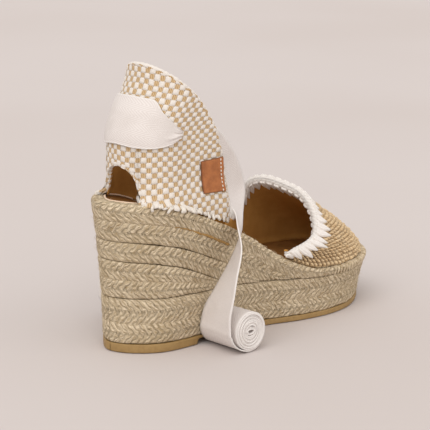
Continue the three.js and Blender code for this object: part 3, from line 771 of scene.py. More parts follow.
def braid(name, bottom, top, lean, seed, seams, inset=BRAID_INSET, front=None, top_braid=False):
    """One plaited jute braid between two heights, round the whole sole or, with a front, the heel only.

    The top braid also turns in over the rim, and it carries the stitches that hold the toe piece.
    """
    if front is None:
        count = int(PERIMETER / STATION_STEP)
        distance = np.arange(count) / count * PERIMETER
    else:
        start = reach_of(front, 1) - PERIMETER
        end = reach_of(front, -1)
        distance = np.linspace(start, end, int((end - start) / STATION_STEP))
    t = t_at(distance)
    x0, y0, nx, ny = (value[:, None] for value in outline_at(t))
    patchy = 0.85 + 0.3 * uneven(distance[:, None] / 8, 0.0, seed + 40)
    crisp_low, crisp_high = (seam_strength(x0, seam) * patchy for seam in seams)
    on_base = smooth(1 - np.abs(bottom(x0) - base_height(x0)) / 1.5) * (1 - smooth((x0 - 45) / 18))
    crisp_low = np.maximum(crisp_low, on_base * patchy)
    low = bottom(x0) + 0.5 * crisp_low - OVERLAP
    high = top(x0) - 0.5 * crisp_high + OVERLAP
    tall = high - low
    angle = np.linspace(-math.pi / 2, math.pi / 2, SECTION_POINTS)[None, :]
    rise = np.sign(angle) * np.abs(np.sin(angle)) ** SECTION_POWER
    crisp = np.where(angle < 0, crisp_low, crisp_high)
    depth = np.where((angle > 0) & top_braid, TOP_ROLL, SEAM_SHALLOW + SEAM_DEEP * crisp)
    pull = depth * np.minimum(1, tall / 9) * (1 - np.cos(angle) ** SECTION_POWER)
    z = (low + high) / 2 + rise * tall / 2
    offset = flare_at(x0, z) + BRAID_PROUD - pull
    if top_braid:
        steps = np.linspace(0, 1, 13)[None, 1:]
        edge = offset[:, -1:]
        offset = np.concatenate([offset, edge + (-inset - edge) * steps], 1)
        dip = 0.5 * steps ** 2
        z = np.concatenate([z, high - dip + 0 * edge], 1)
    section = np.stack([offset, z], -1)
    steps = np.linalg.norm(np.diff(section, axis=1), axis=2)
    h = np.concatenate([np.zeros((len(t), 1)), np.cumsum(steps, 1)], 1)
    total = h[:, SECTION_POINTS - 1:SECTION_POINTS]
    run = distance[:, None] + 0 * h
    height, groove_shade, fibre, tone = strand_relief(run, h, total / 2, total / 2, lean, seed)
    scale = np.minimum(1, tall / 10) ** 0.7
    relief = (height - 0.55) * STRAND_RELIEF * scale
    px = x0 + nx * offset
    mess = messy_share(px, z)
    hair = uneven(distance[:, None] / 1.5, h / 1.1, seed + 20) * 0.7
    hair = hair + uneven(distance[:, None] / 3.6, h / 2.6, seed + 21)
    relief = relief * (1 - 0.55 * mess) + 0.42 * mess * hair
    # Painted shade in the hollows between the loose hairs.
    groove_shade = groove_shade * (1 - 0.45 * mess) + mess * np.clip(-hair * 0.5, 0, 0.45)
    if top_braid:
        relief, groove_shade, fibre, tone = toe_stitches(px, distance, h, seed, relief, groove_shade, fibre, tone)
    # The crease flattens the plait at the braid's edges and paints shade into it; the top braid's inner end
    # gets deeper painted shade where it runs in under the footbed.
    crease = np.ones_like(h)
    crease[:, :SECTION_POINTS] = 1 - (0.15 + 0.8 * crisp) * (1 - np.cos(angle) ** 0.35)
    if top_braid:
        crease[:, SECTION_POINTS // 2:] = 1
        crease[:, -8:] = np.linspace(1, 0.25, 8)
    relief = relief * crease
    groove_shade = np.maximum(groove_shade, 1 - crease)
    near = np.gradient(section, axis=1)
    out = unit(np.stack([near[..., 1], -near[..., 0]], -1))
    offset = offset + out[..., 0] * relief
    z = z + out[..., 1] * relief
    px, py = x0 + nx * offset, y0 + ny * offset
    outer = np.stack([px, py, sprung(px, z)], -1)
    if top_braid:
        inner = np.stack([outer[:, -1, 0], outer[:, -1, 1], sprung(px[:, -1], low[:, 0])], -1)[:, None]
    else:
        ix, iy = x0[:, 0] - nx[:, 0] * inset, y0[:, 0] - ny[:, 0] * inset
        inner = np.stack([np.stack([ix, iy, sprung(ix, level[:, 0])], -1) for level in (high, low)], 1)
    points = np.concatenate([outer, inner], 1)
    extra = inner.shape[1]
    # The hidden inner faces are painted fully in shade.
    marks = {
        "hollow": np.concatenate([np.clip(groove_shade, 0, 1), np.ones((len(t), extra))], 1),
        "tone": np.concatenate([tone, np.zeros((len(t), extra))], 1),
        "fibre": np.concatenate([fibre, np.zeros((len(t), extra, 3))], 1),
    }
    faces = loft_faces(len(t), points.shape[1], front is None)
    make(name + "_plait", points, faces, JUTE, slot="jute", marks=marks, replaces=[name])
    braid_grids.append((outer, grid_normals(outer), messy_share(px, z)))


def braid_front(bottom, top, least):
    x = HEEL_END
    while x < SOLE_LENGTH / 2 and top(x) - bottom(x) > least:
        x += 0.5
    return x


def build_braids():
    strong, fading, weak, faint = (1.0, 0.85), (1.0, 0.15), (0.3, 0.05), (0.0, 0.0)
    braid("base_braid_lower", rubber_height, base_seam, -1, 1, (strong, faint))
    braid("base_braid_upper", base_seam, base_height, -1, 2, (faint, strong))
    for seed, (name, bottom, top, seams) in enumerate((
        ("wedge_braid_lower", base_height, wedge_seam, (strong, weak)),
        ("wedge_braid_middle", wedge_seam, wedge_upper_height, (weak, fading)),
        ("wedge_braid_upper", wedge_upper_height, rim_lower_height, (fading, fading)),
        ("rim_braid_lower", rim_lower_height, seat_height, (fading, weak)),
    )):
        front = braid_front(bottom, top, 1.4)
        braid(name, bottom, top, 1, 5 + seed, seams, front=front)
    braid("rim_braid_upper", seat_height, rim_height, 1, 11, (weak, strong), inset=RIM_INSET, top_braid=True)


def build_fuzz():
    """Loose fibre ends standing off the jute."""
    parts = []
    sides = 3
    knots = 5
    for outer, normals, mess in braid_grids:
        rows, columns = outer.shape[:2]
        count = int(rows * columns / POINTS_PER_HAIR)
        row = DRAWS.integers(0, rows, count)
        column = DRAWS.integers(2, columns - 1, count)
        keep = DRAWS.random(count) < 0.5 + 0.6 * mess[row, column]
        for i, j in zip(row[keep], column[keep]):
            base, out = outer[i, j], normals[i, j]
            if out[1] * base[1] < 0 and abs(base[1]) > 8:
                out = -out
            ahead = outer[(i + 1) % rows, j] - base
            ahead = ahead / max(np.linalg.norm(ahead), 1e-6)
            aside = np.cross(out, ahead)
            turn = DRAWS.uniform(0, 2 * math.pi)
            lay = ahead * math.cos(turn) + aside * math.sin(turn)
            long = DRAWS.uniform(*HAIR_LENGTH)
            lift = DRAWS.uniform(0.05, 0.6)
            curl = DRAWS.uniform(-0.5, 0.5)
            step = np.linspace(0, 1, knots)[:, None]
            line = base + (lay * step + aside * curl * step ** 2) * long
            line = line + out * (0.15 + lift * long * step * (1 - 0.55 * step))
            if line[:, 2].min() < 1.0:
                continue
            radius = DRAWS.uniform(*HAIR_RADIUS) * (1 - 0.7 * step[:, 0])
            across, front = np.tile(aside, (knots, 1)), np.tile(out, (knots, 1))
            tone = {"tone": np.full(knots * sides, DRAWS.random())}
            parts.append(cord(line, across, front, 2 * radius, 2 * radius, sides, tone))
    make_joined("jute_fuzz", parts, FUZZ, "jute")


# ---------- rubber, footbed ----------

def slab(name, offset, low, high, finish, slot, node, round_low, round_high, rows=300, columns=26):
    """A layer that fills the sole outline, with rounded edges. Each row runs from one side to the other."""
    half = np.linspace(0, 0.5, rows + 2)[1:-1]
    sides = [outline_at(t) for t in (half, 1 - half)]
    quarter = np.linspace(0, math.pi / 2, 5)
    path = [(-round_low + round_low * math.sin(a), "low", round_low * (1 - math.cos(a))) for a in quarter]
    for a in quarter:
        path.append((-round_high + round_high * math.cos(a), "high", -round_high * (1 - math.sin(a))))

    def edge(side, inwards, which, rise):
        x, y, nx, ny = sides[side]
        px, py = x + nx * (offset + inwards), y + ny * (offset + inwards)
        level = low(px) if which == "low" else high(px)
        return np.stack([px, py, sprung(px, level + rise)], -1)

    first = [edge(0, *step) for step in path]
    second = [edge(1, *step) for step in path]
    share = np.linspace(0, 1, columns)[1:-1]
    section = list(first)
    for k in share:
        point = first[-1] * (1 - k) + second[-1] * k
        point[:, 2] = sprung(point[:, 0], high(point[:, 0]))
        if "footbed" in name:
            point[:, 2] -= 1.6 * math.sin(math.pi * k) ** 1.2 * smooth(np.arange(rows) / 25)
        section.append(point)
    section += second[::-1]
    for k in share[::-1]:
        point = first[0] * (1 - k) + second[0] * k
        point[:, 2] = sprung(point[:, 0], low(point[:, 0]))
        section.append(point)
    points = np.stack(section, 1)
    faces = loft_faces(rows, points.shape[1], False)
    make(name, points, faces, finish, slot=slot, replaces=[node])


def build_sole():
    def tread(x):
        inside = (x > SHANK_FROM) & (x < SHANK_TO)
        slope = smooth((x - SHANK_FROM) / 0.9) * smooth((SHANK_TO - x) / 14)
        return np.where(inside, SHANK_RECESS * slope, 0.0)

    def rubber_top(x):
        return rubber_height(x) - GAP / 2

    slab("outsole", 0.35, tread, rubber_top, RUBBER, "rubber", "outsole_rubber", 0.9, 0.7, rows=340)
    slab(
        "footbed", -RIM_INSET + 0.2, lambda x: rim_height(x) - FOOTBED_DROP - 0.9,
        lambda x: rim_height(x) - FOOTBED_DROP, FOOTBED, "suede", "sock_liner", 0.3, 0.4,
    )


PIPING_FRONT = -68


def footbed_piping():
    """The pale turned edge of the footbed cover, which shows under the heel arch."""
    distance = np.linspace(reach_of(PIPING_FRONT, 1) - PERIMETER, reach_of(PIPING_FRONT, -1), 260)
    t = t_at(distance)
    x, y, nx, ny = outline_at(t)
    px, py = x - nx * 2.1, y - ny * 2.1
    line = np.stack([px, py, sprung(px, rim_height(px) - 0.6)], -1)
    across = np.stack([nx, ny, 0 * nx], -1)
    up = np.tile([0.0, 0.0, 1.0], (len(t), 1))
    ring = tube(line, across, up, 1.3, 1.2, 8)
    marks = {"thread": np.zeros(ring.shape[:2]), "hollow": np.zeros(ring.shape[:2])}
    finish = cotton_finish("footbed_edge", colour(240, 214, 188), colour(222, 194, 166))
    make("footbed_edge", ring, loft_faces(len(t), 8, False), finish, slot="suede", marks=marks)


# ---------- heel tab ----------

back_profile = profile([(95, 0), (138, 0.5), (157, 7), (169, 14), (180, 18), (COUNTER_TOP, 19)])
CELL = 3.6
CELL_TALL = 3.5
CELL_WING = 3.8
SEAT_TURN = 4.0


def tab_centre(z):
    return COUNTER_BACK + back_profile(z) + COUNTER_RADIUS


def tab_wall(s, z, offset):
    """A point of the heel tab, at distance s round it from the back centre, the outer side positive."""
    s, z, offset = np.broadcast_arrays(np.asarray(s, float), np.asarray(z, float), np.asarray(offset, float))
    half = COUNTER_RADIUS + COUNTER_BASE_FLARE * smooth((115 - z) / 22)
    radius = half + offset
    along = np.abs(s)
    angle = np.minimum(along / COUNTER_RADIUS, math.pi / 2)
    x = tab_centre(z) - radius * np.cos(angle) + np.maximum(along - QUARTER, 0)
    return np.stack([x, -np.sign(s) * radius * np.sin(angle), z], -1)


def tab_reach(x, z):
    """Distance round the tab of its point at x, z."""
    centre = tab_centre(z)
    half = COUNTER_RADIUS + COUNTER_BASE_FLARE * smooth((115 - z) / 22)
    bend = COUNTER_RADIUS * np.arccos(np.clip((centre - x) / half, -1, 1))
    return np.where(x < centre, bend, x - centre + QUARTER)


HALF_T = np.linspace(0, 0.5, 1500)
HALF_OUTER = np.array(outline_at(HALF_T)).T
HALF_INNER = np.array(outline_at(-HALF_T)).T


def rim_point(x, side, offset, z):
    """A point outside the rim at x, on the outer side (1) or the inner side (-1)."""
    px, py, nx, ny = (
        np.where(side > 0, *(np.interp(x, half[:, 0], half[:, k]) for half in (HALF_OUTER, HALF_INNER)))
        for k in range(4)
    )
    return np.stack([px + nx * offset, py + ny * offset, z], -1)


def tab_point(s, z, offset):
    """The tab's wall, which turns out over the rim at its foot and hangs down outside it."""
    wall = tab_wall(s, z, offset)
    rim = rim_height(wall[..., 0])
    share = smooth((rim + SEAT_TURN - z) / SEAT_TURN)[..., None]
    bulge = smooth((np.abs(s) - 17) / 8) * (1 - 0.9 * smooth((np.abs(s) - 40) / 35))
    reach = 2.5 + np.where(s > 0, 5.0, 1.0) * bulge
    over = rim_point(wall[..., 0], np.sign(np.asarray(s) + 0 * z), reach + offset, wall[..., 2])
    return wall * (1 - share) + over * share


TAB_EDGE = spline([
    (-86, COUNTER_TOP), (-84.5, COUNTER_TOP - 1), (-81, 184), (-75, 179.5), (-68.6, 174), (-60.4, 167.3),
    (-54.4, 160.5), (-48.2, 152), (-43.1, 143.5), (-39.7, 133.5), (-37, 124), (-35.5, 113.5), (-34.4, 100.5),
    (-33.8, 90), (-33.6, 80),
])
edge_xz = TAB_EDGE(np.linspace(0, 1, 500))
edge_s = tab_reach(edge_xz[:, 0], edge_xz[:, 1])
edge_s[0] = 0
edge_s = np.maximum.accumulate(edge_s + np.arange(500) * 1e-6)
TAB_FRONT = edge_s[-1]
ARCH_SPRING = 103
ARCH_TOP = 123
ARCH_REACH = 16.2


def tab_top(s):
    return np.interp(np.abs(s), edge_s, edge_xz[:, 1])


def arch_line(s):
    return ARCH_SPRING + (ARCH_TOP - ARCH_SPRING) * np.clip(1 - (np.abs(s) / ARCH_REACH) ** 2, 0, 1) ** 0.4


def tab_foot(s, ragged=1):
    """Lower edge of the tab: the arch at the back, and elsewhere a ragged edge about level with the rim."""
    rim = rim_height(tab_wall(s, 100.0, 0.0)[..., 0])
    hang = 1.5 - 4.0 * smooth((np.abs(s) - 20) / 50)
    torn = 0.9 * uneven(s / 5.0, 0.0, 40) + 0.5 * uneven(s / 1.6, 0.0, 41)
    foot = rim - np.where(ragged, hang + torn, 0.8)
    fade = smooth((np.abs(s) - ARCH_REACH) / 1.2)
    return arch_line(s) * (1 - fade) + foot * fade


CELL_RUN = np.linspace(0, 100, 401)
CELL_COUNT = np.cumsum(0.25 / (CELL + (CELL_WING - CELL) * smooth((CELL_RUN - 25) / 25)))


def weave_place(s, z):
    """Cell counts across and up the weave. The rows follow the top edge down, and lie level at the foot."""
    s = s + 0 * z
    x = np.sign(s) * np.interp(np.abs(s), CELL_RUN, CELL_COUNT) + 0.16 * uneven(s / 9, z / 9, 50)
    drop = 8.0 * smooth(np.abs(s) / 75) * (1.2 * smooth((z - 118) / 52) - 0.2)
    y = (z - 130 + drop) / CELL_TALL + 0.16 * uneven(s / 8, z / 8, 51)
    return x, y


def cell_relief(x, y):
    """Height of the woven cells: white ones puffed up, tan ones flat and sunk."""
    fx, fy = x - np.floor(x), y - np.floor(y)
    white = (np.floor(x) + np.floor(y)) % 2 < 1
    pillow = dome(2 * fx - 1, 4) * dome(2 * fy - 1, 4)
    puff = 0.85 + 0.3 * scatter(np.floor(x), np.floor(y), 6)
    return np.where(white, 0.85 * pillow * puff, 0.22 * pillow)


def build_tab():
    s = np.linspace(-TAB_FRONT + 0.6, TAB_FRONT - 0.6, 310)[:, None]
    v = np.linspace(0, 1, 155)[None, :]
    low, high = tab_foot(s), tab_top(s) - 0.8
    z = low + (high - low) * v
    x_cells, y_cells = weave_place(s, z)
    relief = cell_relief(x_cells, y_cells)
    outer = tab_point(s, z, 0.0)
    normals = grid_normals(outer)
    facing = np.einsum("ijk,ijk->ij", normals, outer - np.array([-70.0, 0, 130]))
    normals = normals * np.sign(facing.sum())
    inner = outer - normals * FABRIC_THICKNESS
    outer = outer + normals * (relief - 0.25)[..., None]
    weave = np.stack([x_cells, y_cells, 0 * x_cells], -1)
    cloth_piece("tab_weave", outer, inner, CHECK, {"weave": weave}, slot="check_fabric",
                replaces=["counter_fabric"])

    s = np.linspace(-TAB_FRONT + 2, TAB_FRONT - 2, 150)[:, None]
    v = np.linspace(0, 1, 60)[None, :]
    low, high = tab_foot(s, 0), tab_top(s) - 2.2
    z = low + (high - low) * v
    outer = tab_wall(s, z, -FABRIC_THICKNESS - 0.45)
    inner = tab_wall(s, z, -FABRIC_THICKNESS - GAP - LINING_THICKNESS)
    cloth_piece("tab_lining", outer, inner, LINING, slot="suede", replaces=["counter_lining"])


def hem_tube(name, s, z, node, width, depth, dotted):
    """A rolled hem along a line on the tab, its outer side bumped by the cells folded into it."""
    line = tab_point(s, z, -1.5)
    front = unit(tab_point(s, z, 1.0) - tab_point(s, z, -1.0))
    across = across_line(line, front)
    phase = lengths(line) / CELL

    def swell(angle):
        bump = np.sqrt(np.abs(np.sin(math.pi * phase)))[:, None]
        return 0.74 + 0.36 * bump + 0 * angle[None, :]

    sides = 16
    ring = tube(line, across, front, width, depth, sides, swell)
    angle = np.arange(sides) / sides * 2 * math.pi
    inward = -np.cos(angle)[None, :] * dotted
    plain = 1 - smooth((inward + 0.55) / 0.35)
    flat = 0 * ring[..., 0]
    weave = np.stack([phase[:, None] + flat, 0.5 + flat, plain * np.ones((len(s), 1))], -1)
    faces = loft_faces(len(s), sides, False)
    make(name, ring, faces, CHECK, slot="cotton", marks={"weave": weave}, replaces=[node])


def build_hems():
    reach = np.concatenate([-edge_s[::-1], edge_s[1:]])
    height = np.concatenate([edge_xz[::-1, 1], edge_xz[1:, 1]])
    wall = tab_wall(reach, height - 1.6, 0.0)
    keep = height > rim_height(wall[:, 0]) - 3
    reach, height = reach[keep], height[keep]
    run = lengths(np.stack([reach, height], -1))
    even = np.linspace(0, run[-1], int(run[-1] / 0.55))
    s, z = np.interp(even, run, reach), np.interp(even, run, height)
    slope = unit(np.stack([np.gradient(z), -np.gradient(s)], -1))
    hem_tube("tab_top_hem", s + slope[:, 0] * 0.3, z + slope[:, 1] * 0.3, "counter_top_hem", 2.7, 3.4, 1)

    angle = np.linspace(0, math.pi, 160)
    s = -(ARCH_REACH + 1.4) * np.cos(angle)
    rise = np.clip(np.sin(angle), 0, 1) ** 0.8
    z = ARCH_SPRING + (ARCH_TOP + 1.4 - ARCH_SPRING) * rise
    leg = np.linspace(6, 0.5, 12)
    s = np.concatenate([np.full(12, s[0]), s, np.full(12, s[-1])])
    z = np.concatenate([ARCH_SPRING - leg, z, ARCH_SPRING - leg[::-1]])
    hem_tube("arch_hem_roll", s, z, "arch_hem", 3.1, 3.6, -1)


def yarn_ends():
    """Cut ends of the white yarn along the tab's ragged foot."""
    parts = []
    for side in (1, -1):
        s = ARCH_REACH + 3
        while s < TAB_FRONT - 4:
            foot = float(tab_foot(np.array([side * s]))[0])
            count = 1 + int(DRAWS.random() < 0.55)
            for _ in range(count):
                long = DRAWS.uniform(2.4, 5.0)
                lean = DRAWS.uniform(-0.8, 0.8)
                fat = DRAWS.uniform(1.3, 2.8)
                step = np.linspace(0, 1, 9)
                place = side * (s + lean * long * step)
                drop = foot + 2.4 - long * step * (1 - 0.3 * abs(lean))
                line = tab_point(place, drop, 0.75 + 0.5 * np.sin(math.pi * step))
                front = unit(tab_point(place, drop, 2.0) - tab_point(place, drop, 0.0))
                girth = fat * dome(2 * step - 1, 4, 0.02)
                marks = {"thread": np.tile(np.arange(8) / 2.0, (9, 1)), "hollow": np.zeros((9, 8))}
                parts.append(cord(line, across_line(line, front), front, girth, girth * 0.8, 8, marks))
                s += DRAWS.uniform(0.4, 1.6)
            s += DRAWS.uniform(1.6, 4.4)
    make_joined("tab_yarn_ends", parts, YARN, "check_fabric")


LABEL_CORNERS = [(-57, 102), (-37.0, 101), (-37.8, 124), (-57.8, 123.5)]
LABEL_WIDTH = 20.0
LABEL_HEIGHT = 22.6


def build_label():
    """The blank leather label on the outer wing, with a row of stitches along its front edge."""
    corners = np.array(LABEL_CORNERS, float)
    u = np.linspace(0, 1, 46)[:, None]
    v = np.linspace(0, 1, 50)[None, :]
    x, z = (
        (low[0] * (1 - u) + low[1] * u) * (1 - v) + (high[1] * (1 - u) + high[0] * u) * v
        for low, high in zip(corners[:2].T, corners[2:].T)
    )
    from_side = np.minimum(u, 1 - u) * LABEL_WIDTH
    from_end = np.minimum(v, 1 - v) * LABEL_HEIGHT
    inside = np.minimum(from_side + 0 * v, from_end + 0 * u)
    crown = 1 - np.clip(1 - inside / 0.9, 0, 1) ** 2
    pull = np.exp(-((((1 - u) * LABEL_WIDTH - 3) / 0.9) ** 2)) + 0 * v
    wave = 0.25 * uneven(x / 12, z / 9, 60)
    offset = 1.15 + 0.95 * crown - 0.28 * pull + wave
    s = tab_reach(x, z)
    outer, inner = tab_wall(s, z, offset), tab_wall(s, z, 0.75 + 0 * offset + wave * 0.3)
    # Painted shade along the label's edge.
    hollow = np.clip(1 - inside / 0.7, 0, 1)
    cloth_piece("label", outer, inner, LEATHER, {"hollow": hollow}, slot="leather",
                replaces=["leather_label"])

    parts = []
    for k in range(9):
        share = (k + 0.5) / 9
        step = np.linspace(-0.5, 0.5, 7)
        rise = share + step * 0.075
        x = (-37.0 - 3.0) * (1 - rise) + (-37.8 - 3.0) * rise
        z = 101.2 + 22.6 * rise
        lift = 1.85 + 0.32 * np.cos(step * math.pi) ** 0.5
        s = tab_reach(x, z)
        line = tab_wall(s, z, lift)
        across = np.tile([1.0, 0, 0], (7, 1))
        front = np.tile([0, -1.0, 0], (7, 1))
        girth = 0.75 * dome(2 * step, 4, 0.1)
        marks = {"thread": np.tile(np.arange(8) / 4.0, (7, 1)), "hollow": np.zeros((7, 8))}
        parts.append(cord(line, across, front, girth, girth, 8, marks))
    make_joined("label_stitches", parts, YARN, "cotton")


# ---------- crocheted toe piece ----------

MOUTH_CURVE = spline([
    (x * SOLE_LENGTH, y * FORE_WIDTH, PLATFORM_HEIGHT + z * VAMP_HEIGHT)
    for x, y, z in (
        (0.04, -0.487, 0.277), (0.116, -0.498, 0.351), (0.187, -0.45, 0.43), (0.218, -0.388, 0.555),
        (0.24, -0.291, 0.702), (0.249, -0.146, 0.851), (0.231, 0.024, 0.945), (0.2, 0.194, 1),
        (0.185, 0.325, 0.93), (0.183, 0.42, 0.72), (0.15, 0.465, 0.4),
    )
])
MOUTH_T = np.linspace(0, 1, 2001)
MOUTH_RUN = lengths(MOUTH_CURVE(MOUTH_T))
MOUTH_LENGTH = MOUTH_RUN[-1]
VAMP_FOOT_X = 0.075 * SOLE_LENGTH
VAMP_FROM = float(np.interp(reach_of(VAMP_FOOT_X, -1), FINE_LENGTH, FINE_T))
VAMP_TO = float(np.interp(reach_of(VAMP_FOOT_X, 1), FINE_LENGTH, FINE_T))


def vamp_ends(u):
    """Foot and mouth of the toe piece at u, and the outline's normal there."""
    t = VAMP_FROM + (VAMP_TO - VAMP_FROM) * u
    x, y, nx, ny = outline_at(t)
    px, py = x + nx * VAMP_SEAT, y + ny * VAMP_SEAT
    foot = np.stack([px, py, sprung(px, rim_height(px)) + GAP + 0.05], -1)
    mouth = MOUTH_CURVE(np.interp(u * MOUTH_LENGTH, MOUTH_RUN, MOUTH_T))
    return foot, mouth, np.stack([nx, ny, 0 * nx], -1)


def vamp_span(u):
    foot, mouth, _ = vamp_ends(u)
    return np.linalg.norm(mouth - foot, axis=-1)


def vamp_point(u, v):
    """The outer face of the toe piece: u runs round the mouth from the outer side, v from the rim up."""
    u, v = np.broadcast_arrays(np.asarray(u, float), np.asarray(v, float))
    foot, mouth, normal = vamp_ends(u)
    span = np.linalg.norm(mouth - foot, axis=-1)[..., None]
    toe = (np.abs(normal[..., 0]) * np.sin(math.pi * u))[..., None]
    outward = normal * (1 - toe)
    outward[..., 2:] += 0.4 + toe
    rise = foot - 0.06 * span * normal
    rise[..., 2:] += span * (0.32 - 0.12 * toe)
    shoulder = mouth + 0.4 * (foot - mouth) + unit(outward) * span * (0.12 - 0.1 * toe)
    v = v[..., None]
    w = 1 - v
    return foot * w ** 3 + 3 * rise * w * w * v + 3 * shoulder * w * v * v + mouth * v ** 3


def vamp_normal(u, v):
    step = 0.004
    over = vamp_point(np.minimum(1, u + step), v) - vamp_point(np.maximum(0, u - step), v)
    upwards = vamp_point(u, np.minimum(1, v + step)) - vamp_point(u, np.maximum(0, v - step))
    return unit(np.cross(over, upwards))


STITCH = 3.9
ROW = 3.6


def build_toe():
    u = np.linspace(0, 1, 400)[:, None]
    span = vamp_span(u[:, 0])[:, None]
    top = np.maximum(0.25, 1 - 4.5 / span)
    v = np.linspace(0, 1, 92)[None, :] * top
    climb = v * span + 0.5 * uneven(u * 34, v * 7, 76)
    row = np.floor(climb / ROW)
    rows = int(row.max()) + 1
    runs = []
    for k in range(rows):
        share = np.clip((k + 0.5) * ROW / span[:, 0], 0, 1)
        line = vamp_point(u[:, 0], share)
        run = lengths(line)
        runs.append(run - run[-1] / 2)
    runs = np.array(runs)
    run = np.take_along_axis(runs.T, row.astype(int), 1)
    a = run / STITCH + 0.5 * (row % 2) + 0.1 * uneven(run / 6, climb / 6, 70)
    b = climb / ROW
    stitch = np.floor(a)
    fa, fb = a - stitch, b - np.floor(b)
    wobble = 0.08 * (scatter(stitch, row, 71) - 0.5)
    heights = []
    for side in (-1, 1):
        middle = 0.5 + wobble + side * (0.05 + 0.12 * fb)
        heights.append(dome((fa - middle) / 0.23))
    strand = np.maximum(*heights) * (0.5 + 0.5 * dome(2 * fb - 1, 3))
    bar = np.maximum(dome((fb - 0.97) / 0.2), dome((fb + 0.03) / 0.2)) * 0.35
    plump = 0.8 + 0.35 * scatter(stitch, row, 72)
    height = np.maximum(strand * plump * (0.75 + 0.25 * np.sin(math.pi * fb)), bar * plump)
    outer = vamp_point(u, v)
    normals = vamp_normal(u, v)
    lumps = 0.35 * uneven(run / 5, climb / 5, 73)
    inner = outer - normals * VAMP_THICKNESS
    outer = outer + normals * ((height - 0.75) * 2.9 + lumps)[..., None]
    # Painted shade in the holes between the stitches.
    marks = {
        "hollow": np.clip(1.2 - height * 1.35, 0, 1),
        "tone": scatter(stitch, row, 74),
        "fibre": np.stack([climb, run * 2, stitch * 2.1 + row], -1),
    }
    cloth_piece("toe_crochet", outer, inner, RAFFIA, marks, slot="raffia", replaces=["vamp_raffia"])

    u = np.linspace(0, 1, 160)[:, None]
    span = vamp_span(u[:, 0])[:, None]
    v = np.linspace(0, 1, 36)[None, :] * np.maximum(0.25, 1 - 2.0 / span)
    face, normals = vamp_point(u, v), vamp_normal(u, v)
    face[..., 2] -= 1.8 * (1 - smooth(v * span / 3))
    outer = face - normals * (VAMP_THICKNESS + GAP)
    turned = 1.4 * (1 - smooth(v * span / 4))[..., None]
    inner = face - normals * (VAMP_THICKNESS + GAP + LINING_THICKNESS + turned)
    cloth_piece("toe_lining", outer, inner, LINING, slot="suede", replaces=["vamp_lining"])


def build_edging():
    """The white crocheted mouth: a twisted roll along the edge and long pointed stitches down both faces."""
    count = int(MOUTH_LENGTH / 0.5)
    u = np.linspace(0.002, 0.998, count)
    span = vamp_span(u)
    top = 1 - 2.3 / span
    normal = vamp_normal(u, np.minimum(top, 1))
    line = vamp_point(u, top) - normal * 1.7
    across = across_line(line, normal)
    run = lengths(line)
    sides = 26
    angle = np.arange(sides) / sides * 2 * math.pi
    twist = run[:, None] / 3.3 + angle[None, :] / math.pi
    chain = np.abs(np.sin(math.pi * (run[:, None] / 3.3 + 0.8 * np.sin(angle)[None, :])))
    swell = 0.9 + 0.17 * np.sqrt(chain)
    fine_end = 0.35 + 0.65 * smooth(np.minimum(run, run[-1] - run) / 10)
    ring = tube(line, across, normal, 5.1 * fine_end, 5.7 * fine_end, sides, lambda _: swell)
    # Painted shade between the twists of the chain.
    marks = {"thread": twist * 4, "hollow": np.clip(1 - chain * 2.2, 0, 1) * 0.8}
    make("mouth_roll", ring, loft_faces(count, sides, False), COTTON, slot="cotton", marks=marks,
         replaces=["vamp_edging"])
    for name, sign, pitch, longest in (("outer", 1, 5.7, 12.5), ("inner", -1, 6.0, 10.5)):
        parts = []
        place = 1.5 if sign > 0 else 9.0
        while place < MOUTH_LENGTH - (1.5 if sign > 0 else 9.0):
            middle = place / MOUTH_LENGTH
            room = float(vamp_span(np.array([middle]))[0])
            short = 0.4 * smooth((middle - 0.2) / 0.2) * (sign > 0)
            long = min(longest * (1 - short) * DRAWS.uniform(0.8, 1.15), room * 0.72)
            wide = DRAWS.uniform(2.7, 3.1)
            lean = DRAWS.uniform(-0.12, 0.12)
            tau = np.linspace(0, 1, 16)[:, None]
            sigma = np.linspace(-1, 1, 11)[None, :]
            half = wide * (1 - tau ** 3.2) ** 0.6 * (0.8 + 0.35 * np.sin(math.pi * np.minimum(tau * 1.3, 1)))
            half = np.maximum(half, 0.12)
            uu = np.clip(middle + (sigma * half + lean * long * tau) / MOUTH_LENGTH, 0, 1)
            ss = vamp_span(uu)
            vv = 1 - (1.0 + long * tau) / ss
            vv = np.clip(vv, 0.03, 1)
            crown = dome(sigma) * (1 - 0.55 * tau)
            crown = crown * (1 - 0.3 * np.exp(-((sigma / 0.16) ** 2)))
            base, out = vamp_point(uu, vv), vamp_normal(uu, vv)
            if sign > 0:
                lift, floor = 0.35 + 1.7 * crown, -0.45
            else:
                depth = VAMP_THICKNESS + GAP + LINING_THICKNESS
                lift, floor = -(depth + 0.15 + 1.5 * crown), -(depth - 0.3)
            outer = base + out * lift[..., None]
            inner = base + out * floor
            points, faces = cloth(outer, inner)
            # Painted shade along the sides of each stitch.
            marks = {
                "thread": both(sigma * 1.6 + 0 * tau),
                "hollow": both(np.clip(np.abs(sigma) ** 6 * 0.6 + 0 * tau, 0, 1)),
            }
            parts.append((points.reshape(-1, 3), faces, marks))
            place += pitch * DRAWS.uniform(0.93, 1.07)
        make_joined(f"mouth_stitches_{name}", parts, COTTON, "cotton")


# ---------- ribbon ----------

LOOP_UPPER = profile([
    (0, 168), (14, 167), (18, 166.3), (27, 158.5), (34.5, 152.5), (43, 146.8), (46.2, 145.2),
])
LOOP_LOWER = profile([
    (0, 138), (14, 136.5), (23, 136), (30, 136.5), (38.5, 138.6), (44.5, 142), (46.2, 142.4),
])


def tape_mark(across, along):
    """Place across the ribbon from one edge, place along it, and how near the selvedge is."""
    edge = smooth((np.abs(across) - RIBBON_WIDTH / 2 + 1.3) / 1.0)
    return np.stack([across + RIBBON_WIDTH / 2, along + 0 * across, edge], -1)


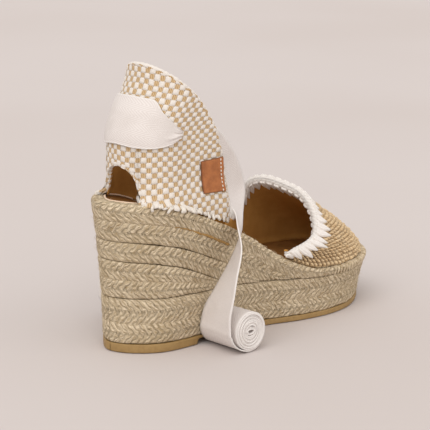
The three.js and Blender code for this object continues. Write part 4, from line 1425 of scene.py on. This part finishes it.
def build_loop():
    """The band round the back of the heel tab, which gathers into soft pleats where it enters the slots."""
    s = np.linspace(-46.2, 46.2, 230)[:, None]
    q = np.linspace(0, 1, 61)[None, :]
    top, bottom = LOOP_UPPER(np.abs(s)), LOOP_LOWER(np.abs(s))
    z = bottom + (top - bottom) * q
    gather = smooth((np.abs(s) - 33) / 12)
    pleats = np.sin(2 * math.pi * (3.1 * q + 0.16 * np.sin(s / 9))) * 0.55
    pleats = pleats + 0.45 * np.sin(2 * math.pi * (5.3 * q + 0.3) + s / 15)
    fold = 2.3 * np.exp(-((q - 0.3 - 0.1 * gather) / 0.1) ** 2) * smooth((np.abs(s) - 30) / 12)
    soft = 0.3 * np.sin(math.pi * q) * np.cos(s / 16)
    dive = smooth((np.abs(s) - 43.2) / 3.0)
    lift = 1.5 + soft + gather ** 2 * (1.3 + 1.0 * pleats) + fold * 0.5
    lift = lift * (1 - dive) - 2.2 * dive
    edges = 0.25 * smooth((np.abs(q - 0.5) - 0.46) / 0.04)
    outer = tab_wall(s, z, lift + 0.28 + edges)
    inner = tab_wall(s, z, lift - 0.28 - edges)
    tape = {"tape": tape_mark((q - 0.5) * RIBBON_WIDTH + 0 * s, s + 100)}
    piece = cloth_piece("heel_band", outer, inner, RIBBON, tape, slot="ribbon",
                        replaces=["ribbon_heel_loop"])


# The ribbon's two edges on the outer side, from the slot to the roll: front edge, back edge.
RIBBON_EDGES = [
    ((-73.4, -27.6, 145.6), (-73.4, -27.6, 141.4)),
    ((-72.6, -25, 147), (-72.6, -25, 140)),
    ((-66, -24.2, 148), (-68, -24.2, 137.5)),
    ((-55, -24, 150.5), (-62, -24, 133)),
    ((-40, -24, 144), (-54, -24, 122)),
    ((-26.8, -23, 131.5), (-48, -24, 113)),
    ((-12.8, -20, 113), (-40, -23.5, 101)),
    ((-8, -19.6, 96), (-32.5, -25, 93)),
    ((-14, -24, 85), (-33, -35, 87.5)),
    ((-24, -34, 79.5), (-44, -49, 81.3)),
    ((-31, -39.8, 73), (-52.2, -61, 69)),
    ((-40.7, -40.2, 57), (-60.3, -65, 52)),
    ((-50.8, -36, 39), (-64.1, -66, 38)),
    ((-58, -32, 26), (-66.3, -66, 25)),
    ((-61.85, -32, 14), (-66, -66, 14)),
]
ROLL_CENTRE_Z = 14.0
TURN_PITCH = 1.03
TAPE_HALF = 0.30
ROLLED_EXTRA = 0.12
TAIL_CUP = 1.6


def ribbon_line(side):
    """From the slot to the roll's heart: the ribbon's middle, half-width vectors and thickness normals."""
    flip = np.array([1, side, 1])
    front = spline([np.array(pair[0]) * flip for pair in RIBBON_EDGES])
    back = spline([np.array(pair[1]) * flip for pair in RIBBON_EDGES])
    t = np.linspace(0, 1, 900)
    middle = (front(t) + back(t)) / 2
    run = lengths(middle)
    even = np.linspace(0, run[-1], int(run[-1] / 1.5))
    t = np.interp(even, run, t)
    middle, spread = (front(t) + back(t)) / 2, (back(t) - front(t)) / 2
    turns = (ROLL_RADIUS - 0.15 - 2.4) / TURN_PITCH
    angle = np.linspace(0, turns * 2 * math.pi, 560)[1:]
    radius = ROLL_RADIUS - 0.15 - 0.42 - TURN_PITCH * angle / (2 * math.pi)
    radius = radius + 0.1 * np.sin(angle * 1.3) * smooth(angle / 6)
    place = math.pi + angle
    squash = smooth((angle / (2 * math.pi) - turns + 2.2) / 1.5) * 0.35
    roll = np.stack([
        ROLL_X + radius * np.cos(place) * (1 + squash),
        np.full(len(angle), -ROLL_Y * side),
        ROLL_CENTRE_Z + radius * np.sin(place) * (1 - squash),
    ], -1)
    shift = 0.35 * np.sin(angle / 2.3) + 0.25 * np.sin(angle / 0.9 + 1)
    roll[:, 1] += shift * smooth(angle / 5)
    slant = -2.07 * (1 - smooth(angle / (math.pi / 2)))
    roll[:, 0] += slant
    across = np.stack([slant, np.full(len(angle), -side * RIBBON_WIDTH / 2), 0 * angle], -1)
    middle = np.concatenate([middle, roll])
    spread = np.concatenate([spread, across])
    run = lengths(middle)
    ahead = unit(np.gradient(middle, axis=0))
    normal = unit(np.cross(ahead, unit(spread)))
    return middle, spread, normal, run, len(even)


def build_tail(name, side, nodes):
    """One ribbon tail: from the slot forward inside the tab, out over the rim, down to its roll."""
    middle, spread, normal, run, hanging = ribbon_line(side)
    q = np.linspace(-1, 1, 17)[None, :, None]
    cup = np.zeros(len(middle))
    cup[:hanging] = TAIL_CUP * np.sin(math.pi * np.arange(hanging) / hanging) ** 0.8
    wave = 0.5 * uneven(run / 22, 0.0, 80)
    wave[hanging:] = 0
    bend = (cup[:, None] * (1 - q[..., 0] ** 2) + wave[:, None] * q[..., 0])[..., None]
    grid = middle[:, None] + spread[:, None] * q + normal[:, None] * bend * side
    normals = grid_normals(grid)
    selvedge = 0.12 * smooth((np.abs(q[..., 0]) - 0.93) / 0.05)
    rolled = smooth((np.arange(len(middle)) - hanging) / 20)
    half = (TAPE_HALF + ROLLED_EXTRA * rolled)[:, None] + selvedge
    outer, inner = grid + normals * half[..., None], grid - normals * half[..., None]
    tape = {"tape": tape_mark(q[..., 0] * RIBBON_WIDTH / 2 + 0 * run[:, None], run[:, None])}
    piece = cloth_piece(name, outer, inner, RIBBON, tape, body=None, slot="ribbon", replaces=nodes)
    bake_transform(piece)


def build_ribbons():
    build_loop()
    for name, side in (("lateral", 1), ("medial", -1)):
        nodes = [f"ribbon_upper_{name}", f"ribbon_tail_{name}", f"ribbon_roll_{name}"]
        build_tail(f"tie_{name}", side, nodes)


# ---------- small trims ----------

def seam_thread():
    """The ochre thread that shows under the top rim braid on the outer side."""
    start, end = reach_of(-84, -1), reach_of(-38, -1)
    distance = np.linspace(start, end, 160)
    t = t_at(distance)
    x, y, nx, ny = outline_at(t)
    z = seat_height(x) + 0.4 * uneven(distance / 3, 0.0, 90)
    offset = flare_at(x, z) + 0.1 + 0.4 * smooth((x + 78) / 30)
    offset = offset + 0.5 * uneven(distance / 2.2, 0.0, 92)
    px, py = x + nx * offset, y + ny * offset
    line = np.stack([px, py, z], -1)
    front = np.stack([nx, ny, 0 * nx], -1)
    across = across_line(line, front)
    girth = 0.8 + 1.1 * smooth((x + 80) / 34) + 0.3 * uneven(distance / 2, 0.0, 91)
    sides = 12
    angle = np.arange(sides) / sides * 2 * math.pi
    twist = distance[:, None] / 2.2 + angle[None, :] / (2 * math.pi) * 2
    swell = 0.85 + 0.2 * np.abs(np.sin(math.pi * twist))
    ring = tube(line, across, front, girth, girth, sides, lambda _: swell)
    # Painted shade in the grooves of the twist.
    marks = {"thread": twist, "hollow": np.clip(1 - np.abs(np.sin(math.pi * twist)) * 2, 0, 1)}
    make("seam_thread", ring, loft_faces(len(t), sides, False), OCHRE, slot="jute", marks=marks)


# ---------- studio ----------

def build_studio():
    mesh = bpy.data.meshes.new("floor")
    reach = 9.0
    steps = 24
    line = np.linspace(-reach, reach, steps)
    points = [(a, b, -0.0004) for a in line for b in line]
    mesh.from_pydata(points, [], grid_faces(steps, steps).tolist())
    floor = bpy.data.objects.new("floor", mesh)
    bpy.context.scene.collection.objects.link(floor)
    f = Finish("studio_floor")
    cloud = f.noise(f.place(), 0.0016, 2.0)
    tint = f.mix(cloud.between(0.3, 0.8), colour(207, 199, 196), colour(203, 194, 190))
    mesh.materials.append(f.surface(tint, 0.95, Specular_IOR_Level=0.1))

    world = bpy.data.worlds.new("studio")
    bpy.context.scene.world = world
    world.use_nodes = True
    background = world.node_tree.nodes["Background"]
    background.inputs["Color"].default_value = (1.0, 0.965, 0.94, 1)
    background.inputs["Strength"].default_value = 0.77

    def sun(name, towards, strength, spread, tint):
        light = bpy.data.lights.new(name, "SUN")
        light.energy = strength
        light.angle = math.radians(spread)
        light.color = tint
        lamp = bpy.data.objects.new(name, light)
        bpy.context.scene.collection.objects.link(lamp)
        lamp.rotation_mode = "QUATERNION"
        lamp.rotation_quaternion = Vector(towards).to_track_quat("-Z", "Y")

    sun("key", (0.68, 0.36, -0.82), 1.4, 55, (1.0, 0.985, 0.965))
    sun("fill", (-0.1, 0.9, -0.5), 0.4, 70, (1.0, 0.97, 0.95))

    camera = bpy.data.cameras.new("camera")
    camera.lens = 146.6
    camera.sensor_width = 36
    camera.clip_end = 50
    view = bpy.data.objects.new("camera", camera)
    bpy.context.scene.collection.objects.link(view)
    azimuth, elevation = math.radians(-43.9), math.radians(13.4)
    back = Vector((
        math.sin(azimuth) * math.cos(elevation),
        -math.cos(azimuth) * math.cos(elevation),
        math.sin(elevation),
    ))
    view.location = Vector((-0.0171, 0, 0.076)) + back * 1.2
    view.rotation_mode = "QUATERNION"
    view.rotation_quaternion = (-back).to_track_quat("-Z", "Y")
    bpy.context.scene.camera = view
    bpy.context.scene.view_settings.view_transform = "Standard"


build_studio()
build_braids()
build_fuzz()
build_sole()
footbed_piping()
build_tab()
build_hems()
yarn_ends()
build_label()
build_toe()
build_edging()
build_ribbons()
seam_thread()
